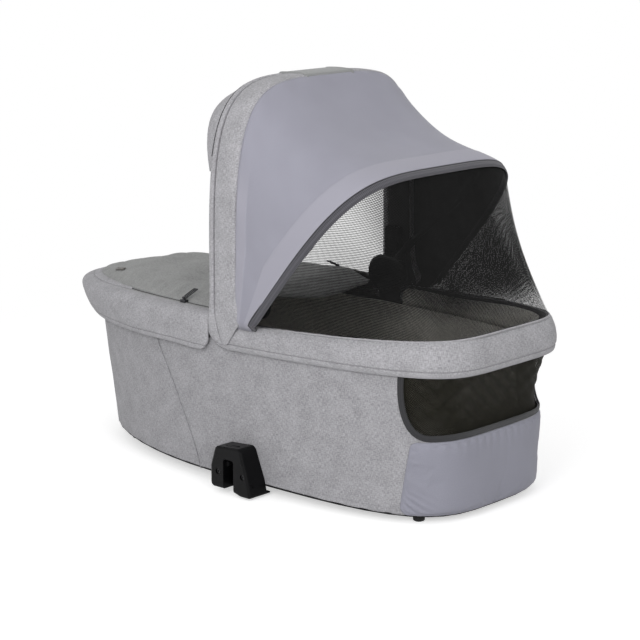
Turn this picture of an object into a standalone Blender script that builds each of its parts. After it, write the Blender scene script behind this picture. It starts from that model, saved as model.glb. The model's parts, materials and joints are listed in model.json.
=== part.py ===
# Carrycot with a folding hood, a zipped apron and a chassis adapter on each side.
# Metres. +X points to the head end, +Z up, and the middle of the floor rectangle is the origin.
import math

import bmesh
import bpy
from mathutils import Matrix, Vector

# Whole tub, in plan: the half lengths are measured from the tub's own middle
TUB_MIDDLE_X = 0.0037
RIM_PROUD = 0.0080
WALL_TOP_HEAD = 0.4237
WALL_TOP_FOOT = 0.3920
WALL_TOP_HALF = 0.2070
HEAD_SLOPE = 0.0192
FOOT_SLOPE = 0.0330
SIDE_SLOPE = 0.0175
WALL_BASE_HEAD = WALL_TOP_HEAD - HEAD_SLOPE
WALL_BASE_FOOT = WALL_TOP_FOOT - FOOT_SLOPE
WALL_BASE_HALF = WALL_TOP_HALF - SIDE_SLOPE
TOP_SQUARENESS = 5.5
BASE_SQUARENESS = 3.7
FOOT_SQUARENESS = 3.0
HEAD_TAPER_SHARE = 0.21
FOOT_TAPER_SHARE = 0.24
TAPER_POWER = 1.5
HEAD_HOLLOW = 0.0075

# Heights
FOOT_PAD_HEIGHT = 0.0155
BASE_HEAD_DROP = 0.0075
BASE_FOOT_RISE = 0.0110
TRAY_LIP = 0.0040
TRAY_WALL_HEIGHT = 0.0560
BOARD_HEIGHT = 0.0300
WALL_TOP = 0.2375
RIM_OVERLAP = 0.0133
RIM_DEPTH = 0.0413
RIM_EDGE_HEIGHT = WALL_TOP - RIM_OVERLAP
RIM_TOP_HEIGHT = RIM_EDGE_HEIGHT + RIM_DEPTH
RIM_HEAD_RISE = 0.0120
RIM_CREST_INSET = 0.0105

# Thicknesses and clearances
CLEARANCE = 0.0003
OVERRUN = 0.0100
COVER_THICK = 0.0025
TRAY_THICK = 0.0026
LINING_THICK = 0.0030
LINING_INSET = 0.0285
CANOPY_THICK = 0.0022

# Rim frame
RIM_TUBE_RADIUS = 0.0070
RIM_TUBE_INSET = 0.0120
RIM_TUBE_HEIGHT = WALL_TOP + RIM_TUBE_RADIUS + CLEARANCE * 2

# Hood
PIVOT_X = 0.0437
PIVOT_RISE = 0.0230
HOOD_OVERHANG = 0.0072
HOOD_RISE = 0.3417
PIVOT_HEIGHT = RIM_TOP_HEIGHT + PIVOT_RISE
HOOD_HALF = WALL_TOP_HALF + HOOD_OVERHANG
HOOD_TOP = PIVOT_HEIGHT + HOOD_RISE
HOOD_SQUARENESS = 4.3
BAND_WIDTH = 0.0580
BAND_THICK = 0.0162
BOW_WIDTH = 0.0200
BOW_THICK = 0.0060
BOW_DEPTH_IN_BAND = 0.0082
REAR_BOW_ANGLE = math.radians(44.0)
REAR_BOW_DROP = 0.0187
REAR_BOW_INSET = 0.0062
REAR_BOW_RADIUS = 0.0045
TAPE_TOP_REACH = 0.2560
TAPE_TOP_SHARE = 0.6365
TAPE_FOOT_REACH = 0.0660
TAPE_FOOT_RISE = 0.0070
TAPE_OVERHANG = 0.0170
TAPE_TOP_X = PIVOT_X + TAPE_TOP_REACH
TAPE_TOP_HEIGHT = PIVOT_HEIGHT + HOOD_RISE * TAPE_TOP_SHARE
TAPE_FOOT_X = PIVOT_X + TAPE_FOOT_REACH
TAPE_FOOT_HEIGHT = RIM_TOP_HEIGHT + TAPE_FOOT_RISE
TAPE_HALF = WALL_TOP_HALF + TAPE_OVERHANG
TAPE_RADIUS = 0.0030
CANOPY_SAG_SHARE = 1.20
MESH_SAG_SHARE = 0.04
VISOR_REACH = 0.0320
VISOR_DROP = 0.0140
VISOR_END_SHARE = 0.6014
VISOR_TOP_SHARE = 0.60
VISOR_THICK = 0.0030
GRIP_LENGTH = 0.1120
GRIP_THICK = 0.0014

# Hub, from the middle of the tub outwards
PLATE_INSET = 0.0275
PLATE_INNER = WALL_TOP_HALF - PLATE_INSET
PLATE_THICK = 0.0050
ARM_THICK = 0.0056
HUB_RADIUS = 0.0260
CAP_RADIUS = 0.0300
SHELL_THICK = 0.0065
SHELL_REACH = 0.0300
SHELL_SMALL_SHARE = 0.78
PIN_RADIUS = 0.0050
PIN_HEAD_RADIUS = 0.0085
PIN_HEAD_THICK = 0.0030
SOCKET_WIDTH = 0.0270
SOCKET_RISE = 0.0180
SOCKET_LENGTH = 0.0550
SOCKET_COVER = 0.0026
SOCKET_BOTTOM = PIVOT_HEIGHT + SOCKET_RISE
SOCKET_TOP = SOCKET_BOTTOM + SOCKET_LENGTH
SOCKET_OUTER = HOOD_HALF - SOCKET_COVER
SOCKET_DEPTH = 0.0280
BUTTON_DROP = 0.0125
BUTTON_HEIGHT = SOCKET_TOP - BUTTON_DROP
BUTTON_RADIUS = 0.0070
BUTTON_THICK = 0.0060
BUTTON_PROUD = 0.0040
BUTTON_TRAVEL = 0.0030
REAR_SOCKET_START = 0.0340
REAR_SOCKET_END = 0.0820
REAR_SOCKET_RADIUS = 0.0065
REAR_SEAT_SHARE = 0.3
BOW_FOOT_SHARE = 0.6
BOW_WIDEN_SHARE = 1.3
BOW_START_SHARE = 1.25

# Apron
SKIRT_PROUD = 0.0075
SKIRT_HANG = 0.0082
SKIRT_BOTTOM = RIM_EDGE_HEIGHT - SKIRT_HANG
SKIRT_SHOULDER = RIM_TOP_HEIGHT
SKIRT_FLARE = 0.0410
SKIRT_BACK = 0.0315
SKIRT_END_X = PIVOT_X - SKIRT_BACK
SKIRT_CORNER = 0.0150
SKIRT_DROOP = 0.0100
SKIRT_THICK = 0.0024
APRON_EDGE_INSET = 0.0262
APRON_EDGE_RISE = 0.0105
APRON_EDGE_HEIGHT = SKIRT_SHOULDER + APRON_EDGE_RISE
APRON_CROWN = 0.0235
APRON_REACH = 0.0600
APRON_SIDE_BACK = 0.0480
APRON_MOUTH_X = PIVOT_X + APRON_REACH
APRON_SIDE_X = PIVOT_X - APRON_SIDE_BACK
APRON_THICK = 0.0030
FOLD_DEPTH = 0.0025
FOLD_PITCH = 0.1100
MOUTH_INSET = 0.0570
MOUTH_HALF = WALL_TOP_HALF - MOUTH_INSET
MOUTH_POWER = 2.2
ZIP_WIDTH = 0.0050
ZIP_THICK = 0.0014

# Zip slider and pull
SLIDER_BACK = 0.0670
SLIDER_X = APRON_SIDE_X - SLIDER_BACK
SLIDER_LENGTH = 0.0120
SLIDER_WIDTH = 0.0080
SLIDER_HEIGHT = 0.0045
PULL_LENGTH = 0.0280
PULL_WIDTH = 0.0090
PULL_THICK = 0.0016
PULL_AXIS_RISE = 0.0022
PULL_LEAN = math.radians(24.0)

# Head-end window and its flap
WINDOW_DEPTH = 0.1075
WINDOW_BOTTOM = WALL_TOP - WINDOW_DEPTH
WINDOW_CORNER = 0.0600
WINDOW_POWER = 2.4
WINDOW_WRAP = 0.0750
WINDOW_SIDE_X = WALL_TOP_HEAD - WINDOW_WRAP
BINDING_WIDTH = 0.0095
BINDING_PROUD = 0.0022
MESH_THICK = 0.0016
FLAP_RISE = 0.0025
FLAP_WRAP = 0.0560
FLAP_SIDE_X = WALL_TOP_HEAD - FLAP_WRAP
FLAP_THICK = 0.0050
FLAP_CORNER = 0.0180

# Inside
BOARD_THICK = 0.0040
MATTRESS_HEIGHT = 0.0420
MATTRESS_GAP = 0.0040
MATTRESS_CROWN = 0.0080
CHANNEL_PITCH = 0.0850
CHANNEL_DEPTH = 0.0045
CHANNEL_WIDTH = 0.0110

# Adapters
ADAPTER_SHIFT = 0.0270
ADAPTER_X = PIVOT_X + ADAPTER_SHIFT
ADAPTER_LIFT = 0.0030
ADAPTER_HEIGHT = 0.0720
ADAPTER_TOP = ADAPTER_LIFT + ADAPTER_HEIGHT
ADAPTER_BASE_WIDTH = 0.0830
ADAPTER_TOP_WIDTH = 0.0540
ADAPTER_DEPTH = 0.0370
ADAPTER_ROUND = 0.0030
PILLAR_LIFT = 0.0060
CHANNEL_OPEN_WIDTH = 0.0215
CHANNEL_CEILING = 0.0180
CHANNEL_TOP = ADAPTER_TOP - CHANNEL_CEILING
CHANNEL_OPEN_DEPTH = 0.0240
CHANNEL_OFFSET = 0.0035
PRESS_LENGTH = 0.0260
PRESS_WIDTH = 0.0095
PRESS_HEIGHT = 0.0070
PRESS_TRAVEL = 0.0030
PRESS_PROUD = 0.0010
LATCH_LENGTH = 0.0120
LATCH_WIDTH = 0.0080
LATCH_HEIGHT = 0.0080
LATCH_REACH = 0.0045
LATCH_TRAVEL = 0.0046
LATCH_DROP = 0.0100
LATCH_RISE = CHANNEL_TOP - LATCH_DROP
SCREW_RADIUS = 0.0020
SCREW_HEAD_RADIUS = 0.0040
SCREW_HEAD_THICK = 0.0022
SCREW_SPREAD = 0.0520
SCREW_RISE = 0.0350

# Rubber feet
PAD_RADIUS = 0.0090
PAD_STEM_RADIUS = 0.0030
PAD_HEAD_INSET = 0.0448
PAD_FOOT_INSET = 0.0827
PAD_HEAD_SPREAD = 0.0635
PAD_FOOT_SPREAD = 0.0945
PAD_HEAD_X = WALL_BASE_HEAD - PAD_HEAD_INSET
PAD_FOOT_X = PAD_FOOT_INSET - WALL_BASE_FOOT
PAD_HEAD_Y = WALL_BASE_HALF - PAD_HEAD_SPREAD
PAD_FOOT_Y = WALL_BASE_HALF - PAD_FOOT_SPREAD

# Springs
SPRING_WIRE_RADIUS = 0.0004
SPRING_TURNS = 3

# Facet counts
FINE_STEPS = 720
ROUND_STEPS = 48
ARCH_STEPS = 22
FOOT_CORNER_STEPS = 6
CORNER_STEPS = 4
END_STEPS = 5
VISOR_STEPS = 20
CANOPY_ROWS = 6
MESH_ROWS = 5
RIB_COUNT = 4

# How much a turn of the outline draws its points closer, as a length for a turn of one radian
TURN_LENGTH = 0.1200

# Finishes: colour, roughness, metallic
MELANGE = ((0.38, 0.37, 0.39), 0.95, 0.0)
LILAC = ((0.35, 0.35, 0.41), 0.85, 0.0)
APRON_GREY = ((0.25, 0.25, 0.245), 0.95, 0.0)
LINING_GREY = ((0.22, 0.20, 0.18), 0.95, 0.0)
MESH_BLACK = ((0.01, 0.01, 0.01), 0.8, 0.0)
CHARCOAL = ((0.04, 0.04, 0.045), 0.8, 0.0)
BLACK_PLASTIC = ((0.012, 0.012, 0.013), 0.3, 0.0)
MATT_PLASTIC = ((0.02, 0.02, 0.021), 0.6, 0.0)
LEATHERETTE = ((0.24, 0.23, 0.23), 0.5, 0.0)
RUBBER = ((0.015, 0.015, 0.015), 0.9, 0.0)
ALUMINIUM = ((0.7, 0.7, 0.72), 0.35, 1.0)
STEEL = ((0.6, 0.6, 0.62), 0.3, 1.0)
BOARD_GREY = ((0.3, 0.28, 0.25), 0.9, 0.0)
MATTRESS_WHITE = ((0.75, 0.74, 0.71), 0.95, 0.0)

NEAR = -1
FAR = 1
SIDES = {"near": NEAR, "far": FAR}

for old in list(bpy.data.objects):
    bpy.data.objects.remove(old, do_unlink=True)
parts = bpy.data.collections.new("carrycot")
cutters = bpy.data.collections.new("cutters")
bpy.context.scene.collection.children.link(parts)
bpy.context.scene.collection.children.link(cutters)


def finish(obj, look):
    """Gives the object a material of its own and shades its round faces smooth."""
    colour, rough, metal = look
    made = bpy.data.materials.new(obj.name + "_finish")
    made.use_nodes = True
    shader = made.node_tree.nodes["Principled BSDF"]
    shader.inputs["Base Color"].default_value = (*colour, 1.0)
    shader.inputs["Roughness"].default_value = rough
    shader.inputs["Metallic"].default_value = metal
    made.diffuse_color = (*colour, 1.0)
    obj.data.materials.append(made)
    if obj.type == "MESH":
        obj.data.shade_smooth()
        obj.data.set_sharp_from_angle(angle=math.radians(35))
    return obj


def from_bmesh(name, bm, look=None):
    """A new object from a bmesh, among the parts if it has a finish and among the cutters if not."""
    bm.normal_update()
    bmesh.ops.recalc_face_normals(bm, faces=bm.faces)
    mesh = bpy.data.meshes.new(name)
    bm.to_mesh(mesh)
    bm.free()
    obj = bpy.data.objects.new(name, mesh)
    if look is None:
        cutters.objects.link(obj)
        obj.hide_render = True
        obj.display_type = "WIRE"
        return obj
    parts.objects.link(obj)
    return finish(obj, look)


def loft(name, loops, look=None, ring=False):
    """A closed skin over a row of like section loops: joined end to end as a ring, or capped."""
    bm = bmesh.new()
    rows = [[bm.verts.new(p) for p in loop] for loop in loops]
    count = len(loops[0])
    following = rows[1:] + rows[:1] if ring else rows[1:]
    for here, there in zip(rows, following):
        for i in range(count):
            j = (i + 1) % count
            bm.faces.new((here[i], here[j], there[j], there[i]))
    if not ring:
        bm.faces.new(list(reversed(rows[0])))
        bm.faces.new(rows[-1])
    return from_bmesh(name, bm, look)


def sheet(name, rows, thick, look, side=-1.0):
    """An open grid of points given a thickness, as cloth is. side -1 thickens inwards."""
    bm = bmesh.new()
    grid = [[bm.verts.new(p) for p in row] for row in rows]
    for here, there in zip(grid, grid[1:]):
        for i in range(len(here) - 1):
            bm.faces.new((here[i], here[i + 1], there[i + 1], there[i]))
    mesh = bpy.data.meshes.new(name)
    bm.to_mesh(mesh)
    bm.free()
    obj = bpy.data.objects.new(name, mesh)
    parts.objects.link(obj)
    solid = obj.modifiers.new("thickness", "SOLIDIFY")
    solid.thickness = thick
    solid.offset = side
    solid.use_even_offset = True
    return finish(obj, look)


def box(name, low, high, look=None, bevel=0.0):
    """A block between two corners, with rounded edges where a bevel is given."""
    bm = bmesh.new()
    bmesh.ops.create_cube(bm, size=1.0)
    low = Vector(low)
    high = Vector(high)
    size = high - low
    for v in bm.verts:
        v.co = Vector((v.co.x * size.x, v.co.y * size.y, v.co.z * size.z)) + (low + high) / 2
    if bevel > 0.0:
        bmesh.ops.bevel(bm, geom=bm.edges[:], offset=bevel, segments=2, affect="EDGES", profile=0.5)
    return from_bmesh(name, bm, look)


def cylinder(name, start, end, radius, look=None, segments=18, far_radius=None):
    """A round bar or cone between two points."""
    start = Vector(start)
    end = Vector(end)
    bm = bmesh.new()
    bmesh.ops.create_cone(
        bm,
        cap_ends=True,
        segments=segments,
        radius1=radius,
        radius2=radius if far_radius is None else far_radius,
        depth=(end - start).length,
    )
    turn = (end - start).to_track_quat("Z", "Y").to_matrix().to_4x4()
    bm.transform(Matrix.Translation((start + end) / 2) @ turn)
    return from_bmesh(name, bm, look)


def tube(name, points, radius, look, cyclic=False, resolution=2):
    """A round tube along a row of points, turned into a mesh with welded caps."""
    curve = bpy.data.curves.new(name, "CURVE")
    curve.dimensions = "3D"
    curve.bevel_depth = radius
    curve.bevel_resolution = resolution
    curve.use_fill_caps = True
    spline = curve.splines.new("POLY")
    spline.points.add(len(points) - 1)
    for slot, p in zip(spline.points, points):
        slot.co = (*p, 1.0)
    spline.use_cyclic_u = cyclic
    guide = bpy.data.objects.new(name + "_path", curve)
    cutters.objects.link(guide)
    bpy.context.view_layer.update()
    shape = guide.evaluated_get(bpy.context.evaluated_depsgraph_get())
    mesh = bpy.data.meshes.new_from_object(shape)
    bpy.data.objects.remove(guide, do_unlink=True)
    bm = bmesh.new()
    bm.from_mesh(mesh)
    bpy.data.meshes.remove(mesh)
    bmesh.ops.remove_doubles(bm, verts=bm.verts, dist=radius * 0.01)
    return from_bmesh(name, bm, look)


def plate(name, outline, low, high, look=None):
    """A flat outline in X and Z, given its thickness along Y between two places."""
    loops = [[Vector((x, y, z)) for x, z in outline] for y in (low, high)]
    return loft(name, loops, look)


def boolean(target, other, operation):
    step = target.modifiers.new(operation.lower(), "BOOLEAN")
    step.operation = operation
    step.object = other
    step.solver = "EXACT"
    return target


def cut(target, *tools):
    for tool in tools:
        boolean(target, tool, "DIFFERENCE")
    return target


def join(target, *others):
    """Fuses shapes that belong to one moulding; the others stay as hidden guides."""
    for other in others:
        boolean(target, other, "UNION")
    return target


def arc(centre_x, centre_z, radius, start, end, steps):
    """Points on an arc in X and Z; angles are measured from +X towards +Z."""
    turns = [start + (end - start) * i / steps for i in range(steps + 1)]
    return [(centre_x + radius * math.cos(a), centre_z + radius * math.sin(a)) for a in turns]


def mixed(a, b, share):
    return a + (b - a) * share


# Plan curves


def plan_curve(head, foot, half, head_power, head_taper):
    """Points along a plan outline, closer on its corners, from the head's middle round by +Y."""
    dense = []
    for i in range(FINE_STEPS):
        a = math.tau * i / FINE_STEPS
        at_head = math.cos(a) >= 0
        long_half = head if at_head else foot
        power = head_power if at_head else FOOT_SQUARENESS
        taper = head_taper if at_head else FOOT_TAPER_SHARE
        x = math.copysign(abs(math.cos(a)) ** (2 / power), math.cos(a)) * long_half
        y = math.copysign(abs(math.sin(a)) ** (2 / power), math.sin(a)) * half
        narrowed = y * (1 - taper * (abs(x) / long_half) ** TAPER_POWER)
        dense.append(Vector((TUB_MIDDLE_X + x, narrowed)))
    walked = [0.0]
    for i in range(FINE_STEPS):
        j = (i + 1) % FINE_STEPS
        turn = plan_out(dense, i).angle(plan_out(dense, j), 0.0)
        walked.append(walked[-1] + (dense[j] - dense[i]).length + TURN_LENGTH * turn)
    even = []
    k = 0
    for i in range(ROUND_STEPS):
        goal = walked[-1] * i / ROUND_STEPS
        while walked[k + 1] < goal:
            k += 1
        part_share = (goal - walked[k]) / (walked[k + 1] - walked[k])
        even.append(dense[k].lerp(dense[(k + 1) % FINE_STEPS], part_share))
    return even


def plan_out(points, i):
    """The outward direction of a plan outline at its point i."""
    step = points[(i + 1) % len(points)] - points[i - 1]
    return Vector((step.y, -step.x)).normalized()


def plan_at(points, share, out=0.0):
    """The place at a share of the way round, moved outwards; straight between two points."""
    place = (share % 1.0) * ROUND_STEPS
    i = int(place) % ROUND_STEPS
    j = (i + 1) % ROUND_STEPS
    here = points[i] + plan_out(points, i) * out
    there = points[j] + plan_out(points, j) * out
    return here.lerp(there, place - int(place))


def share_where(place_at, x):
    """The share, on the far side, at which a curve has this X."""
    low = 0.0
    high = 0.5
    for _ in range(40):
        middle = (low + high) / 2
        if place_at(middle).x > x:
            low = middle
        else:
            high = middle
    return (low + high) / 2


def shares_between(start, end):
    """The shares of the outline's own points between two shares, with both ends added."""
    inner = [i / ROUND_STEPS for i in range(-ROUND_STEPS, ROUND_STEPS * 2)]
    margin = 0.15 / ROUND_STEPS
    return [start] + [s for s in inner if start + margin < s < end - margin] + [end]


WALL_TOP_PLAN = plan_curve(WALL_TOP_HEAD, WALL_TOP_FOOT, WALL_TOP_HALF, TOP_SQUARENESS, HEAD_TAPER_SHARE)
WALL_BASE_PLAN = plan_curve(WALL_BASE_HEAD, WALL_BASE_FOOT, WALL_BASE_HALF, BASE_SQUARENESS, 0.0)


def wall(share, height, out=0.0):
    """A point on the outside of the tub's cloth wall, moved outwards."""
    up = (height - FOOT_PAD_HEIGHT) / (WALL_TOP - FOOT_PAD_HEIGHT)
    place = plan_at(WALL_BASE_PLAN, share, out).lerp(plan_at(WALL_TOP_PLAN, share, out), up)
    hollow = HEAD_HOLLOW * 4 * up * (1 - up) * (max(place.x, 0.0) / WALL_TOP_HEAD) ** 4
    return Vector((place.x - hollow, place.y, height))


def wall_half(height):
    """Half the tub's width at a height, at its widest place."""
    up = (height - FOOT_PAD_HEIGHT) / (WALL_TOP - FOOT_PAD_HEIGHT)
    return mixed(WALL_BASE_HALF, WALL_TOP_HALF, up)


def base_height(x):
    """Height of the tub's underside, which drops to the head end and rises to the foot end."""
    if x > 0:
        return FOOT_PAD_HEIGHT - BASE_HEAD_DROP * (x / WALL_BASE_HEAD) ** 2
    return FOOT_PAD_HEIGHT + BASE_FOOT_RISE * (x / WALL_BASE_FOOT) ** 2


def base_at(share):
    return base_height(plan_at(WALL_BASE_PLAN, share).x)


def round_wall(name, profile, look=None):
    """A ring round the tub; the profile holds (outward, height, True if above the underside)."""
    loops = []
    for i in range(ROUND_STEPS):
        share = i / ROUND_STEPS
        loops.append([wall(share, height + base_at(share) * up, out) for out, height, up in profile])
    return loft(name, loops, look, ring=True)


def strip_cap(bm, row):
    """Closes a ring of points, mirrored in Y, with strips from side to side."""
    count = len(row)
    for i in range(count // 2):
        corners = []
        for k in (i, i + 1, count - i - 1, (count - i) % count):
            if row[k] not in corners:
                corners.append(row[k])
        if len(corners) > 2:
            bm.faces.new(corners)


def stack(name, rows, look=None):
    """Rings of points one above another, closed at both ends with strips."""
    bm = bmesh.new()
    made = [[bm.verts.new(p) for p in row] for row in rows]
    count = len(rows[0])
    for here, there in zip(made, made[1:]):
        for i in range(count):
            j = (i + 1) % count
            bm.faces.new((here[i], here[j], there[j], there[i]))
    strip_cap(bm, made[0])
    strip_cap(bm, made[-1])
    return from_bmesh(name, bm, look)


def steps_between(low, high, count):
    return [mixed(low, high, i / count) for i in range(count + 1)]


# Tub


def base_tray():
    """Moulded tray with a lip that shows below the cloth, and ribs that carry the base board."""
    lip_top = TRAY_LIP - CLEARANCE
    inner = COVER_THICK + CLEARANCE * 2
    top = FOOT_PAD_HEIGHT + TRAY_WALL_HEIGHT
    round_off = TRAY_LIP * 0.4
    profile = [
        (-round_off, 0.0, 1),
        (0.0, round_off, 1),
        (0.0, lip_top, 1),
        (-inner, lip_top, 1),
        (-inner, top, 0),
        (-inner - TRAY_THICK, top, 0),
        (-inner - TRAY_THICK, TRAY_THICK, 1),
    ]
    rows = []
    for out, height, up in profile:
        shares = [i / ROUND_STEPS for i in range(ROUND_STEPS)]
        rows.append([wall(share, height + base_at(share) * up, out) for share in shares])
    tray = stack("base_tray", rows, MATT_PLASTIC)
    half = TRAY_THICK
    top = BOARD_HEIGHT - CLEARANCE
    for side in (NEAR, FAR):
        y = side * PAD_FOOT_Y * 0.55
        loops = []
        for x in steps_between(PAD_FOOT_X, PAD_HEAD_X, RIB_COUNT * 2):
            low = base_height(x) + TRAY_THICK * 0.5
            section = ((-half, low), (half, low), (half, top), (-half, top))
            loops.append([Vector((x, y + across, z)) for across, z in section])
        join(tray, loft("long_rib", loops))
    for k in range(RIB_COUNT):
        x = mixed(PAD_FOOT_X, PAD_HEAD_X, (k + 0.5) / RIB_COUNT)
        low = base_height(x) + TRAY_THICK * 0.5
        join(tray, box("cross_rib", (x - half, -PAD_FOOT_Y, low), (x + half, PAD_FOOT_Y, top)))
    return tray


def rubber_feet(tray):
    """Four turned rubber feet, each pushed through a hole in the tray by its stem."""
    places = {
        "foot_head_near": (PAD_HEAD_X, -PAD_HEAD_Y),
        "foot_head_far": (PAD_HEAD_X, PAD_HEAD_Y),
        "foot_end_near": (PAD_FOOT_X, -PAD_FOOT_Y),
        "foot_end_far": (PAD_FOOT_X, PAD_FOOT_Y),
    }
    edge = PAD_RADIUS * 0.2
    for name, (x, y) in places.items():
        top = min(base_height(x - PAD_RADIUS), base_height(x + PAD_RADIUS)) - CLEARANCE
        stem_top = base_height(x) + TRAY_THICK
        profile = [
            (0.0, stem_top),
            (PAD_STEM_RADIUS, stem_top),
            (PAD_STEM_RADIUS, top),
            (PAD_RADIUS, top),
            (PAD_RADIUS, edge),
            (PAD_RADIUS - edge * 0.5, edge * 0.3),
            (PAD_RADIUS - edge, 0.0),
            (0.0, 0.0),
        ]
        edges = [(i, i + 1) for i in range(len(profile) - 1)]
        mesh = bpy.data.meshes.new(name)
        mesh.from_pydata([(r, 0.0, z) for r, z in profile], edges, [])
        pad = bpy.data.objects.new(name, mesh)
        parts.objects.link(pad)
        pad.location = (x, y, 0.0)
        turned = pad.modifiers.new("turned", "SCREW")
        turned.steps = 12
        turned.render_steps = 12
        turned.use_merge_vertices = True
        turned.merge_threshold = 0.00001
        finish(pad, RUBBER)
        start = (x, y, top - OVERRUN)
        end = (x, y, stem_top + OVERRUN)
        cut(tray, cylinder("stem_hole", start, end, PAD_STEM_RADIUS + CLEARANCE * 2, segments=14))


def rim_tube_points():
    points = []
    for i in range(ROUND_STEPS):
        p = plan_at(WALL_TOP_PLAN, i / ROUND_STEPS, -RIM_TUBE_INSET)
        points.append((p.x, p.y, RIM_TUBE_HEIGHT))
    return points


def wall_levels(low, high):
    """Heights at which every wall piece has a row of points, with both ends added."""
    tray_top = FOOT_PAD_HEIGHT + TRAY_WALL_HEIGHT
    own = (tray_top, WINDOW_BOTTOM, mixed(WINDOW_BOTTOM, WALL_TOP, 0.5))
    margin = CLEARANCE * 10
    return [low] + [height for height in own if low + margin < height < high - margin] + [high]


def tub_cover():
    levels = wall_levels(FOOT_PAD_HEIGHT, WALL_TOP)[1:]
    profile = [(0.0, TRAY_LIP, 1)] + [(0.0, height, 0) for height in levels]
    profile += [(-COVER_THICK, height, 0) for height in reversed(levels)] + [(-COVER_THICK, TRAY_LIP, 1)]
    return round_wall("tub_cover", profile, MELANGE)


def wall_patch(name, side_x, low, high, corner, inner, outer, look=None, grow=0.0):
    """A piece of the head-end wall; the corner is (width, height, power) of its lower rounding."""
    edge = share_where(lambda share: plan_at(WALL_TOP_PLAN, share), side_x)
    girth = sum((b - a).length for a, b in zip(WALL_TOP_PLAN, WALL_TOP_PLAN[1:]))
    edge += grow / girth
    wide, tall, power = corner
    deepest = wide / girth
    turns = [math.pi / 2 * i / CORNER_STEPS for i in range(1, CORNER_STEPS + 1)]
    bends = [deepest * (1 - math.cos(turn)) for turn in turns]
    own_shares = [s for s in shares_between(-edge, edge) if -edge < s < edge]
    shares = sorted({-edge, edge, *own_shares, *[b - edge for b in bends], *[edge - b for b in bends]})
    kept = [shares[0]]
    for share in shares[1:]:
        if share - kept[-1] > CLEARANCE * 6 / girth:
            kept.append(share)
    kept[-1] = edge
    levels = wall_levels(low(0.0) - grow, high)
    loops = []
    for share in kept:
        from_end = max((edge - abs(share)) * girth, 0.0) / wide
        lift = tall * (1 - (1 - (1 - min(from_end, 1.0)) ** power) ** (1 / power))
        bottom = min(low(share) - grow + lift, high - CLEARANCE * 10)
        heights = [bottom]
        for level in levels[1:-1]:
            heights.append(max(level, heights[-1] + CLEARANCE))
        heights.append(high)
        loop = [wall(share, h, outer) for h in heights]
        loop += [wall(share, h, inner) for h in reversed(heights)]
        loops.append(loop)
    return loft(name, loops, look)


def head_window(cover):
    """Mesh window in the head end, its raised binding, and the padded flap below it."""
    top = RIM_EDGE_HEIGHT - CLEARANCE
    tall = WALL_TOP - WINDOW_BOTTOM
    corner = (WINDOW_CORNER, tall, WINDOW_POWER)
    half = BINDING_WIDTH / 2

    def low(share):
        return WINDOW_BOTTOM

    def flap_low(share):
        return base_at(share) + FLAP_RISE

    place = (WINDOW_SIDE_X, low, WALL_TOP + OVERRUN, corner)
    cut(cover, wall_patch("window_hole", *place, -COVER_THICK - OVERRUN, OVERRUN))
    net_inner = -MESH_THICK - CLEARANCE * 2
    place = (WINDOW_SIDE_X, low, WALL_TOP, corner)
    wall_patch("window_mesh", *place, net_inner, -CLEARANCE * 2, MESH_BLACK, grow=-CLEARANCE * 2)
    place = (WINDOW_SIDE_X, low, top, corner)
    binding = wall_patch("window_binding", *place, CLEARANCE * 2, BINDING_PROUD, CHARCOAL, grow=half)
    place = (WINDOW_SIDE_X, low, top + OVERRUN, corner)
    cut(binding, wall_patch("binding_hole", *place, -OVERRUN, OVERRUN, grow=-half))
    flap_top = WINDOW_BOTTOM - half - CLEARANCE * 2
    flap_corner = (FLAP_CORNER, FLAP_CORNER, 2.0)
    place = (FLAP_SIDE_X, flap_low, flap_top, flap_corner)
    wall_patch("window_flap", *place, CLEARANCE * 2, FLAP_THICK, LILAC)


def tub_lining():
    low = BOARD_HEIGHT + BOARD_THICK + CLEARANCE
    outer = -LINING_INSET
    inner = outer - LINING_THICK
    profile = [(outer, low, 0), (outer, WALL_TOP, 0), (inner, WALL_TOP, 0), (inner, low, 0)]
    lining = round_wall("lining", profile, LINING_GREY)
    tall = WALL_TOP - WINDOW_BOTTOM
    corner = (WINDOW_CORNER, tall, WINDOW_POWER)
    place = (WINDOW_SIDE_X, lambda share: WINDOW_BOTTOM, WALL_TOP - LINING_THICK * 4, corner)
    cut(lining, wall_patch("lining_window", *place, outer - OVERRUN, outer + OVERRUN))
    return lining


def base_board():
    rows = []
    for height in (BOARD_HEIGHT, BOARD_HEIGHT + BOARD_THICK):
        rows.append([wall(i / ROUND_STEPS, height, -LINING_INSET) for i in range(ROUND_STEPS)])
    return stack("base_board", rows, BOARD_GREY)


def mattress():
    """Cushion with a crown, drawn-in sides and sewn channels across it."""
    low = BOARD_HEIGHT + BOARD_THICK + CLEARANCE
    inset = LINING_INSET + LINING_THICK + MATTRESS_GAP
    outline = [wall(i / ROUND_STEPS, low, -inset) for i in range(ROUND_STEPS)]
    side_shares = ((0.985, 0.0), (1.0, 0.12), (0.985, 0.32), (0.975, 0.5), (0.985, 0.68), (1.0, 0.88))
    top_shares = (0.975, 0.9, 0.75, 0.55, 0.3)
    rows = []
    for size_share, up_share in side_shares:
        height = low + MATTRESS_HEIGHT * up_share
        rows.append([Vector((p.x * size_share, p.y * size_share, height)) for p in outline])
    for size_share in top_shares:
        row = []
        for p in outline:
            x = p.x * size_share
            rise = MATTRESS_CROWN * (1 - size_share**2)
            from_channel = abs((x / CHANNEL_PITCH) % 1.0 - 0.5) * CHANNEL_PITCH
            groove = CHANNEL_DEPTH * math.exp(-((from_channel / CHANNEL_WIDTH) ** 2))
            row.append(Vector((x, p.y * size_share, low + MATTRESS_HEIGHT + rise - groove)))
        rows.append(row)
    return stack("mattress", rows, MATTRESS_WHITE)


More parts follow.
